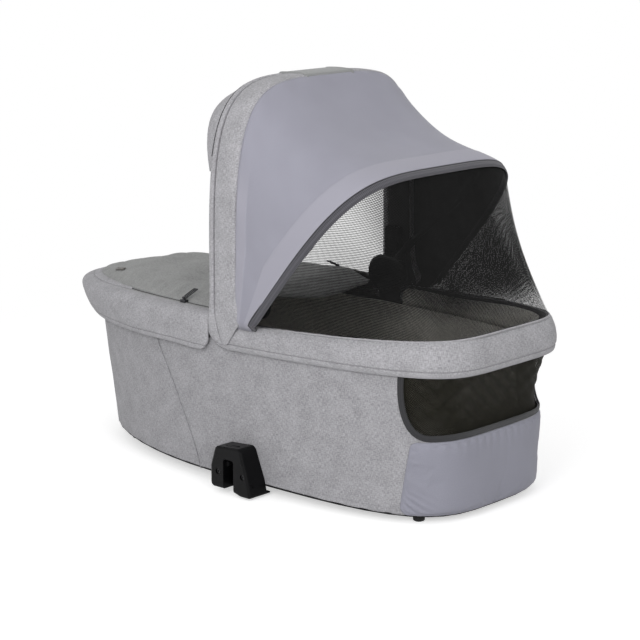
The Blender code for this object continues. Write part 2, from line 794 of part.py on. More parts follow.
def rim_band():
    """Padded band over the rim tube, round the head end from hub to hub."""
    start_x = SKIRT_END_X + CLEARANCE * 3
    end_share = share_where(lambda share: rim_point(share, 0.0, 0.0), start_x)
    tube_top = RIM_TUBE_HEIGHT + RIM_TUBE_RADIUS + CLEARANCE * 2
    tube_out = -RIM_PROUD - RIM_TUBE_INSET
    low = RIM_EDGE_HEIGHT
    tall = RIM_TOP_HEIGHT - low
    inner_lip = -RIM_PROUD - LINING_INSET - LINING_THICK - CLEARANCE * 4
    lip_low = WALL_TOP + CLEARANCE * 4
    profile = [
        (-RIM_PROUD + CLEARANCE, low),
        (-RIM_PROUD * 0.35, low),
        (0.0, low + tall * 0.25),
        (-tall * 0.02, low + tall * 0.6),
        (-tall * 0.09, low + tall * 0.84),
        (RIM_CREST_INSET * -1.0, low + tall),
        (RIM_CREST_INSET * -2.2, low + tall * 0.98),
        (inner_lip * 0.9, low + tall * 0.88),
        (inner_lip, low + tall * 0.7),
        (inner_lip, lip_low),
        (tube_out - RIM_TUBE_RADIUS - CLEARANCE * 3, lip_low),
        (tube_out - RIM_TUBE_RADIUS - CLEARANCE * 3, tube_top),
        (tube_out + RIM_TUBE_RADIUS + CLEARANCE * 3, tube_top),
        (-RIM_PROUD + CLEARANCE, WALL_TOP + CLEARANCE * 2),
    ]
    loops = []
    for share in shares_between(-end_share, end_share):
        loops.append([rim_point(share, out, height) for out, height in profile])
    band = loft("rim_band", loops, MELANGE)
    clear = BAND_WIDTH / 2 + CLEARANCE * 5
    tongue = SOCKET_OUTER - SOCKET_WIDTH * 0.2
    gap_low = (-OVERRUN, -tongue, low - OVERRUN)
    gap_high = (PIVOT_X + clear + BAND_WIDTH * 0.1, tongue, PIVOT_HEIGHT)
    return cut(band, scoop_cutter(), box("rim_gap", gap_low, gap_high))


def scoop_cutter():
    """Round bar across the hubs, to clear the ends of the hood band as they turn."""
    found = bpy.data.objects.get("hub_scoop")
    if found:
        return found
    clear = BAND_WIDTH / 2 + CLEARANCE * 5
    start = (PIVOT_X, -WALL_TOP_HEAD, PIVOT_HEIGHT)
    end = (PIVOT_X, WALL_TOP_HEAD, PIVOT_HEIGHT)
    return cylinder("hub_scoop", start, end, clear, segments=40)


def rim_point(share, out, height):
    """A point on the rim band's outside, moved outwards; its crest rises to the head end."""
    p = plan_at(WALL_TOP_PLAN, share, RIM_PROUD + out)
    above = max(height - RIM_TUBE_HEIGHT - RIM_TUBE_RADIUS, 0.0)
    tall = RIM_TOP_HEIGHT - RIM_TUBE_HEIGHT - RIM_TUBE_RADIUS
    rise = RIM_HEAD_RISE * min(above / tall, 1.0) * (max(p.x, 0.0) / WALL_TOP_HEAD) ** 2
    return Vector((p.x, p.y, height + rise))


# Apron


def skirt_point(share, out, height):
    """A point on the skirt's outside; its foot end leans outwards and droops."""
    p = plan_at(WALL_TOP_PLAN, share, SKIRT_PROUD + out)
    up = (min(height, SKIRT_SHOULDER) - SKIRT_BOTTOM) / (SKIRT_SHOULDER - SKIRT_BOTTOM)
    droop = 0.0
    if p.x < 0:
        droop = SKIRT_DROOP * mixed(0.5, 1.0, up) * (p.x / WALL_TOP_FOOT) ** 2
        p.x *= 1 + SKIRT_FLARE / WALL_TOP_FOOT * (1 - (1 - up) ** 1.6)
    return Vector((p.x, p.y, height - droop))


def skirt_shares(height):
    """Shares along the skirt at a height; its lower ends are rounded."""
    from_low = min((height - SKIRT_BOTTOM) / SKIRT_CORNER, 1.0)
    back = SKIRT_CORNER * (1 - math.sqrt(1 - (1 - from_low) ** 2))
    start = share_where(lambda share: skirt_point(share, 0.0, height), SKIRT_END_X)
    end = share_where(lambda share: skirt_point(share, 0.0, height), SKIRT_END_X - back)
    shares = shares_between(start, 1.0 - start)
    shares[0] = end
    shares[-1] = 1.0 - end
    return shares


def apron_skirt():
    """Cloth band over the rim from hub to hub round the foot end, with a rounded shoulder."""
    shoulder = APRON_EDGE_HEIGHT - SKIRT_SHOULDER
    profile = [
        (0.0, SKIRT_BOTTOM + SKIRT_CORNER * 0.3),
        (0.0, SKIRT_BOTTOM + SKIRT_CORNER),
        (0.0, SKIRT_SHOULDER - shoulder * 0.5),
        (-APRON_EDGE_INSET * 0.08, SKIRT_SHOULDER + shoulder * 0.2),
        (-APRON_EDGE_INSET * 0.4, SKIRT_SHOULDER + shoulder * 0.75),
        (-APRON_EDGE_INSET, APRON_EDGE_HEIGHT),
    ]
    hem = SKIRT_THICK + CLEARANCE * 2
    low = skirt_shares(SKIRT_BOTTOM)
    rows = [[wall(share, skirt_point(share, 0.0, SKIRT_BOTTOM).z, hem) for share in low]]
    for out, height in profile:
        rows.append([skirt_point(share, out, height) for share in skirt_shares(height)])
    return cut(sheet("apron_skirt", rows, SKIRT_THICK, MELANGE), scoop_cutter())


def zip_track():
    """Zip tape and coil between the skirt's edge and the apron's edge."""
    outer = -APRON_EDGE_INSET - CLEARANCE
    loops = []
    for share in skirt_shares(APRON_EDGE_HEIGHT):
        loop = []
        for out, down in ((0, 0), (ZIP_WIDTH, 0), (ZIP_WIDTH, ZIP_THICK), (0, ZIP_THICK)):
            loop.append(skirt_point(share, outer - out, APRON_EDGE_HEIGHT - down))
        loops.append(loop)
    return loft("zip_track", loops, CHARCOAL)


def apron_edge(share):
    inset = APRON_EDGE_INSET + ZIP_WIDTH + CLEARANCE * 2
    return skirt_point(share, -inset, APRON_EDGE_HEIGHT)


def apron_half(x):
    """Half the apron's width at a place along it."""
    return apron_edge(share_where(apron_edge, x)).y


def apron_top():
    """Quilted cover over the foot half, with its crown, its curved mouth and its main folds."""
    middle = ROUND_STEPS // 2
    corner = middle - FOOT_CORNER_STEPS
    side_shares = shares_between(share_where(apron_edge, APRON_SIDE_X), corner / ROUND_STEPS)
    columns = FOOT_CORNER_STEPS * 2
    foot = [apron_edge(1.0 - (corner + k) / ROUND_STEPS) for k in range(columns + 1)]
    far = [apron_edge(share) for share in side_shares]
    near = [Vector((p.x, -p.y, p.z)) for p in far]
    mouth = []
    for k in range(columns + 1):
        y = mixed(near[0].y, far[0].y, k / columns)
        s = min(abs(y) / MOUTH_HALF, 1.0) ** MOUTH_POWER
        fall = s * s * (3 - 2 * s)
        mouth.append(Vector((mixed(APRON_MOUTH_X, APRON_SIDE_X, fall), y, APRON_EDGE_HEIGHT)))
    rows = []
    last = len(far) - 1
    for i in range(last + 1):
        v = i / last
        row = []
        for k in range(columns + 1):
            u = k / columns
            place = mouth[k].lerp(foot[k], v) + near[i].lerp(far[i], u)
            place -= mouth[0].lerp(mouth[-1], u).lerp(foot[0].lerp(foot[-1], u), v)
            place.z += apron_height(place, u, v)
            row.append(place)
        rows.append(row)
    return sheet("apron_top", rows, APRON_THICK, APRON_GREY)


def apron_height(place, u, v):
    """Crown and folds; both die out at the zip."""
    from_zip = 4 * u * (1 - u)
    from_foot = 1 - v
    dome = from_zip**0.7 * min(1.0, from_foot * 2.2) ** 0.8
    wave = place.x / FOLD_PITCH * math.tau
    lean = place.y / FOLD_PITCH
    fold = math.sin(wave + lean * 1.7) + 0.6 * math.sin(wave * 0.6 - lean * 3.1)
    return APRON_CROWN * dome + FOLD_DEPTH * fold * from_zip * dome


def zip_pull_set(name, side):
    """Slider that runs on the zip, and the looped pull hinged to it."""
    place = apron_half(SLIDER_X) + ZIP_WIDTH / 2 + CLEARANCE
    widens = apron_half(SLIDER_X + SLIDER_LENGTH) - apron_half(SLIDER_X)
    ahead = Vector((SLIDER_LENGTH, side * widens, 0.0)).normalized()
    angle = math.atan2(ahead.y, ahead.x)
    origin = Vector((SLIDER_X, side * place, APRON_EDGE_HEIGHT + CLEARANCE * 1.5))
    seat = bpy.data.objects.new("zip_axis_" + name, None)
    parts.objects.link(seat)
    seat.location = origin
    seat.rotation_euler = (0.0, 0.0, angle)
    slider = box(
        "zip_slider_" + name,
        (-SLIDER_LENGTH / 2, -SLIDER_WIDTH / 2, 0.0),
        (SLIDER_LENGTH / 2, SLIDER_WIDTH / 2, SLIDER_HEIGHT),
        STEEL,
        bevel=SLIDER_HEIGHT * 0.2,
    )
    slider.parent = seat
    inward = -side
    axis_up = SLIDER_HEIGHT + PULL_AXIS_RISE
    half = PULL_WIDTH / 2
    lug_half = half * 0.35
    lug_reach = PULL_THICK * 1.35
    swing = PULL_THICK * 2.3
    lug_low = (-lug_half, -lug_reach, SLIDER_HEIGHT - PULL_THICK * 0.5)
    lug = box("zip_lug", lug_low, (lug_half, lug_reach, axis_up + PULL_THICK * 1.5))
    eye_radius = PULL_THICK * 0.75 + CLEARANCE * 0.5
    eye = cylinder("zip_eye", (-half, 0.0, axis_up), (half, 0.0, axis_up), eye_radius, segments=12)
    lug.parent = seat
    eye.parent = seat
    join(slider, lug)
    cut(slider, eye)
    hinge = bpy.data.objects.new("pull_axis_" + name, None)
    parts.objects.link(hinge)
    hinge.parent = seat
    hinge.location = (0.0, 0.0, axis_up)
    hinge.rotation_euler = (PULL_LEAN * inward, 0.0, 0.0)
    flat = PULL_THICK / 2
    ends = sorted((-flat * inward, (PULL_LENGTH - flat) * inward))
    pull = box("zip_pull_" + name, (-half, ends[0], -flat), (half, ends[1], flat), CHARCOAL)
    pull.parent = hinge
    slot_half = lug_half + CLEARANCE * 2
    slots = [(-slot_half, slot_half, flat, swing)]
    for low_x, high_x in ((flat - half, -flat * 0.5), (flat * 0.5, half - flat)):
        slots.append((low_x, high_x, swing + PULL_THICK, PULL_LENGTH - PULL_THICK * 2))
    for low_x, high_x, start, end in slots:
        span = sorted((start * inward, end * inward))
        slot = box("pull_slot", (low_x, span[0], -OVERRUN), (high_x, span[1], OVERRUN))
        slot.parent = hinge
        cut(pull, slot)


# Hood


def arch(half, top, foot_height, turn_share):
    """(across, up) on the hood's arch: 0 at the near foot, 1 at the far foot."""
    a = math.pi * (1 - turn_share)
    reach = abs(math.cos(a)) ** HOOD_SQUARENESS + abs(math.sin(a)) ** HOOD_SQUARENESS
    scale = reach ** (-1 / HOOD_SQUARENESS)
    return math.cos(a) * scale * half, foot_height + (top - foot_height) * math.sin(a) * scale


def arch_frame(half, top, foot_height, turn_share):
    """A point of the arch and its outward direction, both across and up."""
    step = 0.001
    low = max(turn_share - step, 0.0)
    high = min(turn_share + step, 1.0)
    y, z = arch(half, top, foot_height, turn_share)
    y0, z0 = arch(half, top, foot_height, low)
    y1, z1 = arch(half, top, foot_height, high)
    out = Vector((0.0, z0 - z1, y1 - y0)).normalized()
    return Vector((0.0, y, z)), out


def arch_loops(section, depth):
    """Loops of a section (along X, outward) carried over the hood's arch at a depth inside it."""
    loops = []
    for i in range(ARCH_STEPS + 1):
        place, out = arch_frame(HOOD_HALF, HOOD_TOP, PIVOT_HEIGHT, i / ARCH_STEPS)
        base = Vector((PIVOT_X, 0.0, 0.0)) + place - out * depth
        loops.append([base + Vector((x, 0.0, 0.0)) + out * y for x, y in section])
    return loops


def rounded_section(width, thick, corner, steps=2):
    """Corner-rounded rectangle in (along, outward)."""
    points = []
    for k, (sx, sy) in enumerate(((1, 1), (-1, 1), (-1, -1), (1, -1))):
        for i in range(steps + 1):
            a = math.pi / 2 * (k + i / steps)
            x = sx * (width / 2 - corner) + corner * math.cos(a)
            y = sy * (thick / 2 - corner) + corner * math.sin(a)
            points.append((x, y))
    return points


def hood_band():
    """Padded sleeve round the front bow: flat inside, rounded outside, with round ends at the hubs."""
    leg_radius = BAND_WIDTH / 2
    section = rounded_section(BAND_WIDTH, BAND_THICK, BAND_THICK * 0.42)
    depth = BAND_THICK / 2
    loops = arch_loops(section, depth)
    first = loops[0]
    last = loops[-1]
    for k in range(1, END_STEPS + 1):
        a = math.pi / 2 * k / (END_STEPS + 0.5)
        narrow = math.cos(a)
        down = leg_radius * math.sin(a)

        def rounded(loop):
            return [Vector((mixed(PIVOT_X, p.x, narrow), p.y, p.z - down)) for p in loop]

        loops.insert(0, rounded(first))
        loops.append(rounded(last))
    band = loft("hood_band", loops, MELANGE)
    bow_room = rounded_section(BOW_WIDTH + CLEARANCE * 2, BOW_THICK + CLEARANCE * 2, BOW_THICK * 0.4)
    tunnel = loft("bow_tunnel", arch_loops(bow_room, BOW_DEPTH_IN_BAND))
    cut(band, tunnel)
    for side in (NEAR, FAR):
        ends = sorted((side * (HOOD_HALF - BAND_THICK - OVERRUN), side * (SOCKET_OUTER + CLEARANCE)))
        half = SOCKET_WIDTH / 2 + CLEARANCE
        cut(
            band,
            box(
                "socket_room",
                (PIVOT_X - half, ends[0], PIVOT_HEIGHT - CLEARANCE),
                (PIVOT_X + half, ends[1], SOCKET_TOP + CLEARANCE),
            ),
        )
    return band


def front_bow():
    section = rounded_section(BOW_WIDTH, BOW_THICK, BOW_THICK * 0.35)
    foot = SOCKET_TOP - SOCKET_DEPTH + CLEARANCE
    bow = loft("front_bow", arch_loops(section, BOW_DEPTH_IN_BAND), MATT_PLASTIC)
    cut(
        bow,
        box(
            "bow_ends",
            (PIVOT_X - BAND_WIDTH, -WALL_TOP_HEAD, PIVOT_HEIGHT - OVERRUN),
            (PIVOT_X + BAND_WIDTH, WALL_TOP_HEAD, foot),
        ),
    )
    return bow


def grip():
    """Leatherette sleeve round the top of the band, where the cot is carried."""
    outer = rounded_section(
        BAND_WIDTH + (GRIP_THICK + CLEARANCE) * 2,
        BAND_THICK + (GRIP_THICK + CLEARANCE) * 2,
        BAND_THICK * 0.42 + GRIP_THICK,
    )
    inner = rounded_section(
        BAND_WIDTH + CLEARANCE * 2,
        BAND_THICK + CLEARANCE * 2,
        BAND_THICK * 0.42 + CLEARANCE,
    )
    sleeve_loops = grip_loops(outer, GRIP_LENGTH / 2, 8)
    sleeve = loft("grip", sleeve_loops, LEATHERETTE)
    room = loft("grip_room", grip_loops(inner, GRIP_LENGTH / 2 + OVERRUN, 10))
    return cut(sleeve, room)


def grip_loops(section, reach, steps):
    """Loops over the top of the arch, as far as the reach to each side."""
    loops = []
    edge = arch_share_where(lambda y, z: y < -reach)
    for i in range(steps + 1):
        place, out = arch_frame(HOOD_HALF, HOOD_TOP, PIVOT_HEIGHT, mixed(edge, 1 - edge, i / steps))
        base = Vector((PIVOT_X, 0.0, 0.0)) + place - out * BAND_THICK / 2
        loops.append([base + Vector((x, 0.0, 0.0)) + out * y for x, y in section])
    return loops


def arch_share_where(before):
    """The arch share, on the near half, up to which the test on its place (y, z) holds."""
    low = 0.0
    high = 0.5
    for _ in range(40):
        middle = (low + high) / 2
        if before(*arch(HOOD_HALF, HOOD_TOP, PIVOT_HEIGHT, middle)):
            low = middle
        else:
            high = middle
    return (low + high) / 2


def visor():
    """Crescent peak along the front edge of the band, widest over the shoulders."""
    rows = []
    end_height = PIVOT_HEIGHT + HOOD_RISE * VISOR_END_SHARE
    edge = arch_share_where(lambda y, z: z < end_height)
    root = PIVOT_X - BAND_WIDTH / 2 - CLEARANCE
    for i in range(VISOR_STEPS + 1):
        share = mixed(edge, 1 - edge, i / VISOR_STEPS)
        place, out = arch_frame(HOOD_HALF, HOOD_TOP, PIVOT_HEIGHT, share)
        from_end = min(i, VISOR_STEPS - i) / VISOR_STEPS
        reach = VISOR_REACH * (0.1 + 0.9 * math.sin(math.pi / 2 * min(from_end / 0.14, 1.0)))
        reach *= mixed(VISOR_TOP_SHARE, 1.0, min(abs(share - 0.5) / 0.36, 1.0))
        row = []
        for k in range(4):
            ahead = k / 3
            drop = BAND_THICK * 0.2 + VISOR_DROP * ahead * out.z
            at = place - out * drop
            row.append(Vector((root - reach * ahead, at.y, at.z)))
        rows.append(row)
    peak = sheet("visor", rows, VISOR_THICK, MELANGE)
    half = GRIP_LENGTH / 2 + CLEARANCE
    low = (root - GRIP_THICK - CLEARANCE, -half, HOOD_TOP - BAND_THICK * 2)
    high = (PIVOT_X, half, HOOD_TOP + OVERRUN)
    return cut(peak, box("grip_notch", low, high))


def hood_arch_point(share, blend, shrink=0.0):
    """A point of the canopy: blend 0 is the band's rear edge and 1 is the tape along its rear edge."""
    front_x = PIVOT_X + BAND_WIDTH / 2 + CLEARANCE
    foot_x = mixed(front_x, TAPE_FOOT_X, blend)
    top_x = mixed(front_x, TAPE_TOP_X, blend)
    half = mixed(HOOD_HALF, TAPE_HALF, blend) - shrink
    fall = blend + CANOPY_SAG_SHARE * blend * (1 - blend) ** 1.5
    top_z = HOOD_TOP - shrink - (HOOD_TOP - TAPE_TOP_HEIGHT) * fall
    y, up = arch(half, 1.0, 0.0, share)
    return Vector((mixed(foot_x, top_x, up), y, mixed(TAPE_FOOT_HEIGHT, top_z, up)))


def hood_canopy():
    """Cloth from the band to the tape, stopping just short of the tape."""
    ends = []
    for i in range(ARCH_STEPS + 1):
        tape = hood_arch_point(i / ARCH_STEPS, 1.0, TAPE_RADIUS)
        low = 0.5
        high = 1.0
        for _ in range(20):
            middle = (low + high) / 2
            away = (hood_arch_point(i / ARCH_STEPS, middle, TAPE_RADIUS) - tape).length
            if away > TAPE_RADIUS + CLEARANCE * 2:
                low = middle
            else:
                high = middle
        ends.append(low)
    rows = []
    for k in range(CANOPY_ROWS + 1):
        row = []
        for i, end in enumerate(ends):
            row.append(hood_arch_point(i / ARCH_STEPS, end * k / CANOPY_ROWS, CANOPY_THICK * 0.2))
        rows.append(row)
    return sheet("hood_canopy", rows, CANOPY_THICK, LILAC)


def tape_points():
    return [hood_arch_point(i / ARCH_STEPS, 1.0, TAPE_RADIUS) for i in range(ARCH_STEPS + 1)]


def hood_tape():
    return tube("hood_tape", tape_points(), TAPE_RADIUS, CHARCOAL, resolution=1)


def hood_mesh():
    """Net from the tape down to the rim band, round the head end."""
    start_x = TAPE_FOOT_X + BAND_WIDTH * 0.1
    start = share_where(lambda share: rim_point(share, 0.0, 0.0), start_x)
    centre = Vector((PIVOT_X, 0.0, PIVOT_HEIGHT))
    tape = tape_points()
    rows = []
    for k in range(MESH_ROWS + 1):
        down = k / MESH_ROWS
        row = []
        for i, top in enumerate(tape):
            rim = rim_point(mixed(-start, start, i / ARCH_STEPS), -RIM_CREST_INSET, RIM_TOP_HEIGHT)
            rim.z += MESH_THICK
            lead = (rim - top).normalized() * (TAPE_RADIUS + CLEARANCE * 2)
            place = (top + lead).lerp(rim, down)
            sag = math.sin(math.pi * down) * (rim - top).length * MESH_SAG_SHARE
            row.append(place + (centre - place).normalized() * sag)
        rows.append(row)
    return sheet("hood_mesh", rows, MESH_THICK, MESH_BLACK)


# Hub and bows


def side_plate(name, side):
    """Upright that joins tray and rim tube and carries the hub; it is drilled for pin and screws."""
    inner = PLATE_INNER
    outer = PLATE_INNER + PLATE_THICK
    bottom = FOOT_PAD_HEIGHT + TRAY_THICK * 2
    shoulder = bottom + ADAPTER_HEIGHT
    stem = HUB_RADIUS * 0.8
    turn = math.asin(stem / HUB_RADIUS)
    outline = arc(PIVOT_X, PIVOT_HEIGHT, HUB_RADIUS, turn - math.pi / 2, math.pi * 1.5 - turn, 20)
    left = min(PIVOT_X - stem, ADAPTER_X - SCREW_SPREAD / 2 - SCREW_HEAD_RADIUS * 2)
    right = ADAPTER_X + SCREW_SPREAD / 2 + SCREW_HEAD_RADIUS * 2
    outline += [
        (PIVOT_X - stem, shoulder + stem),
        (left, shoulder - stem * 0.2),
        (left, bottom),
        (right, bottom),
        (right, shoulder - stem),
        (PIVOT_X + stem, shoulder + stem),
    ]
    body = plate("side_plate_" + name, outline, side * inner, side * outer, MATT_PLASTIC)
    saddle = sorted((side * (outer - PLATE_THICK * 0.5), side * (WALL_TOP_HALF - RIM_TUBE_INSET)))
    low = RIM_TUBE_HEIGHT - RIM_TUBE_RADIUS - CLEARANCE - PLATE_THICK
    join(
        body,
        box(
            "saddle",
            (PIVOT_X - stem * 0.8, saddle[0], low),
            (PIVOT_X + stem * 0.8, saddle[1], low + PLATE_THICK),
        ),
    )
    bore(body, "plate_bore", side, PIN_RADIUS + CLEARANCE, inner - OVERRUN, outer + OVERRUN)
    cut(body, tray_cutter())
    slot_low = shoulder + stem * 1.6
    slot_high = PIVOT_HEIGHT - HUB_RADIUS * 2.4
    left = PIVOT_X - stem * 0.5
    right = PIVOT_X + stem * 0.5
    window = [(left, slot_low), (right, slot_low), (right, slot_high), (left, slot_high)]
    return cut(body, plate("plate_slot", window, side * (inner - OVERRUN), side * (outer + OVERRUN)))


def tray_cutter():
    """The tray's wall, a clearance larger, to trim what stands inside it."""
    found = bpy.data.objects.get("tray_room")
    if found:
        return found
    low = FOOT_PAD_HEIGHT - OVERRUN
    high = FOOT_PAD_HEIGHT + TRAY_WALL_HEIGHT + CLEARANCE
    inner = -COVER_THICK - TRAY_THICK - CLEARANCE * 3
    profile = [(OVERRUN, low, 0), (OVERRUN, high, 0), (inner, high, 0), (inner, low, 0)]
    return round_wall("tray_room", profile)


def bore(target, name, side, radius, low, high):
    cut(
        target,
        cylinder(name, (PIVOT_X, side * low, PIVOT_HEIGHT), (PIVOT_X, side * high, PIVOT_HEIGHT), radius),
    )


def front_arm(name, side):
    """Turning hub plate with the socket that the front bow plugs into."""
    inner = PLATE_INNER + PLATE_THICK + CLEARANCE
    outer = inner + ARM_THICK
    half = SOCKET_WIDTH / 2
    turn = math.asin(half / HUB_RADIUS)
    outline = arc(PIVOT_X, PIVOT_HEIGHT, HUB_RADIUS, math.pi / 2 + turn, math.pi * 2.5 - turn, 20)
    stem_end = SOCKET_TOP - CLEARANCE * 10
    outline += [(PIVOT_X + half, stem_end), (PIVOT_X - half, stem_end)]
    body = plate("front_arm_" + name, outline, side * inner, side * outer, BLACK_PLASTIC)
    ends = sorted((side * (inner + CLEARANCE * 2), side * SOCKET_OUTER))
    block_low = (PIVOT_X - half, ends[0], SOCKET_BOTTOM)
    join(body, box("socket_block", block_low, (PIVOT_X + half, ends[1], SOCKET_TOP)))
    bore(body, "arm_bore", side, PIN_RADIUS + CLEARANCE, inner - OVERRUN, outer + OVERRUN)
    bow_middle = HOOD_HALF - BOW_DEPTH_IN_BAND
    room_thick = BOW_THICK / 2 + CLEARANCE
    room_y = sorted((side * (bow_middle - room_thick), side * (bow_middle + room_thick)))
    room_half = BOW_WIDTH / 2 + CLEARANCE
    slot = box(
        "bow_slot",
        (PIVOT_X - room_half, room_y[0], SOCKET_TOP - SOCKET_DEPTH),
        (PIVOT_X + room_half, room_y[1], SOCKET_TOP + OVERRUN),
    )
    pocket_end = inner - CLEARANCE + button_room()
    pocket = cylinder(
        "button_pocket",
        (PIVOT_X, side * (inner - OVERRUN), BUTTON_HEIGHT),
        (PIVOT_X, side * pocket_end, BUTTON_HEIGHT),
        BUTTON_RADIUS + CLEARANCE,
    )
    return cut(body, slot, pocket)


def button_room():
    """Depth of the button's pocket: the button, its travel and the closed spring."""
    return BUTTON_THICK + BUTTON_TRAVEL + SPRING_TURNS * SPRING_WIRE_RADIUS * 2 + CLEARANCE * 4


def hub_button(name, side):
    """Sprung release button in the inner face of the bow's socket."""
    inner = PLATE_INNER + PLATE_THICK + CLEARANCE
    start = inner - BUTTON_PROUD
    end = start + BUTTON_THICK
    axis = bpy.data.objects.new("hub_button_axis_" + name, None)
    parts.objects.link(axis)
    axis.location = (PIVOT_X, side * start, BUTTON_HEIGHT)
    edge = BUTTON_THICK * 0.2
    button = cylinder(
        "hub_button_" + name,
        (0.0, side * edge, 0.0),
        (0.0, side * (end - start), 0.0),
        BUTTON_RADIUS,
        BLACK_PLASTIC,
    )
    face = cylinder(
        "button_face",
        (0.0, 0.0, 0.0),
        (0.0, side * edge * 1.5, 0.0),
        BUTTON_RADIUS - edge,
        far_radius=BUTTON_RADIUS - edge * 0.4,
    )
    face.parent = axis
    join(button, face)
    button.parent = axis
    pocket_end = inner - CLEARANCE + button_room()
    spring(
        "hub_spring_" + name,
        Vector((PIVOT_X, side * (end + CLEARANCE + SPRING_WIRE_RADIUS), BUTTON_HEIGHT)),
        Vector((PIVOT_X, side * (pocket_end - CLEARANCE - SPRING_WIRE_RADIUS), BUTTON_HEIGHT)),
        BUTTON_RADIUS * 0.6,
    )


def spring(name, start, end, radius):
    """Round-wire compression spring between two points."""
    along = end - start
    turn = along.to_track_quat("Z", "Y")
    count = SPRING_TURNS * 6
    points = []
    for i in range(count + 1):
        a = math.tau * SPRING_TURNS * i / count
        local = Vector((radius * math.cos(a), radius * math.sin(a), along.length * i / count))
        points.append(start + turn @ local)
    return tube(name, points, SPRING_WIRE_RADIUS, STEEL, resolution=0)


def rear_arm(name, side):
    """Turning hub plate of the rear bow, with a round socket set at the bow's angle."""
    outer = PLATE_INNER - CLEARANCE
    inner = outer - ARM_THICK
    body = plate(
        "rear_arm_" + name,
        arc(PIVOT_X, PIVOT_HEIGHT, HUB_RADIUS - ARM_THICK * 0.2, 0.0, math.tau, 24)[:-1],
        side * inner,
        side * outer,
        BLACK_PLASTIC,
    )
    middle = outer - REAR_SOCKET_RADIUS - CLEARANCE
    lean = Vector((math.sin(REAR_BOW_ANGLE), 0.0, math.cos(REAR_BOW_ANGLE)))
    across = Vector((lean.z, 0.0, -lean.x))
    hub = Vector((PIVOT_X, 0.0, PIVOT_HEIGHT))
    strap = []
    socket_reach = REAR_SOCKET_START + REAR_SOCKET_RADIUS
    ends = ((HUB_RADIUS * 0.4, HUB_RADIUS * 0.45), (socket_reach, REAR_SOCKET_RADIUS))
    for k, sign in ((0, -1), (0, 1), (1, 1), (1, -1)):
        reach, half = ends[k]
        p = hub + lean * reach + across * half * sign
        strap.append((p.x, p.z))
    join(body, plate("arm_strap", strap, side * (inner + CLEARANCE), side * (outer - CLEARANCE)))
    start = hub + lean * REAR_SOCKET_START + Vector((0.0, side * middle, 0.0))
    end = hub + lean * REAR_SOCKET_END + Vector((0.0, side * middle, 0.0))
    join(body, cylinder("rear_socket", start, end, REAR_SOCKET_RADIUS))
    seat = mixed(start, end, REAR_SEAT_SHARE)
    cut(body, cylinder("rear_room", seat, end + lean * OVERRUN, REAR_BOW_RADIUS + CLEARANCE))
    bore(body, "rear_bore", side, PIN_RADIUS + CLEARANCE, inner - OVERRUN, outer + OVERRUN)
    return body


def canopy_reach(angle):
    """How far the canopy's middle line stands from the hood's pivot, in a direction at this angle."""
    low = 0.0
    high = 1.0
    for _ in range(40):
        middle = (low + high) / 2
        p = hood_arch_point(0.5, middle)
        if math.atan2(p.x - PIVOT_X, p.z - PIVOT_HEIGHT) < angle:
            low = middle
        else:
            high = middle
    p = hood_arch_point(0.5, low)
    return math.hypot(p.x - PIVOT_X, p.z - PIVOT_HEIGHT)


def rear_bow():
    """Wire bow: straight in its sockets, then widening into the arch that carries the canopy."""
    middle = PLATE_INNER - CLEARANCE * 2 - REAR_SOCKET_RADIUS
    lean = Vector((math.sin(REAR_BOW_ANGLE), 0.0, math.cos(REAR_BOW_ANGLE)))
    hub = Vector((PIVOT_X, 0.0, PIVOT_HEIGHT))
    reach = canopy_reach(REAR_BOW_ANGLE) - REAR_BOW_DROP
    half = min(HOOD_HALF, TAPE_HALF) - REAR_BOW_INSET
    seat = mixed(REAR_SOCKET_START, REAR_SOCKET_END, REAR_SEAT_SHARE) + CLEARANCE
    widen = REAR_SOCKET_END * BOW_WIDEN_SHARE
    straight = REAR_SOCKET_END + REAR_BOW_RADIUS * 2
    flat = [(-middle, seat), (-middle, straight), (-mixed(middle, half, REAR_SEAT_SHARE), widen)]
    for i in range(ARCH_STEPS + 1):
        y, r = arch(half, reach, widen * BOW_FOOT_SHARE, i / ARCH_STEPS)
        if r > widen * BOW_START_SHARE:
            flat.append((y, r))
    flat += [(-y, r) for y, r in reversed(flat[:3])]
    points = [hub + lean * r + Vector((0.0, y, 0.0)) for y, r in flat]
    return tube("rear_bow", points, REAR_BOW_RADIUS, STEEL, resolution=1)


def hub_pin(name, side):
    """Pin through plate and arms, with its head on the inside under the cap."""
    head_outer = PLATE_INNER - ARM_THICK - CLEARANCE * 2
    end = PLATE_INNER + PLATE_THICK + ARM_THICK + CLEARANCE * 2
    body = cylinder(
        "hub_pin_" + name,
        (PIVOT_X, side * (head_outer - PIN_HEAD_THICK * 0.5), PIVOT_HEIGHT),
        (PIVOT_X, side * end, PIVOT_HEIGHT),
        PIN_RADIUS,
        STEEL,
    )
    head = cylinder(
        "pin_head",
        (PIVOT_X, side * (head_outer - PIN_HEAD_THICK), PIVOT_HEIGHT),
        (PIVOT_X, side * head_outer, PIVOT_HEIGHT),
        PIN_HEAD_RADIUS,
    )
    return join(body, head)


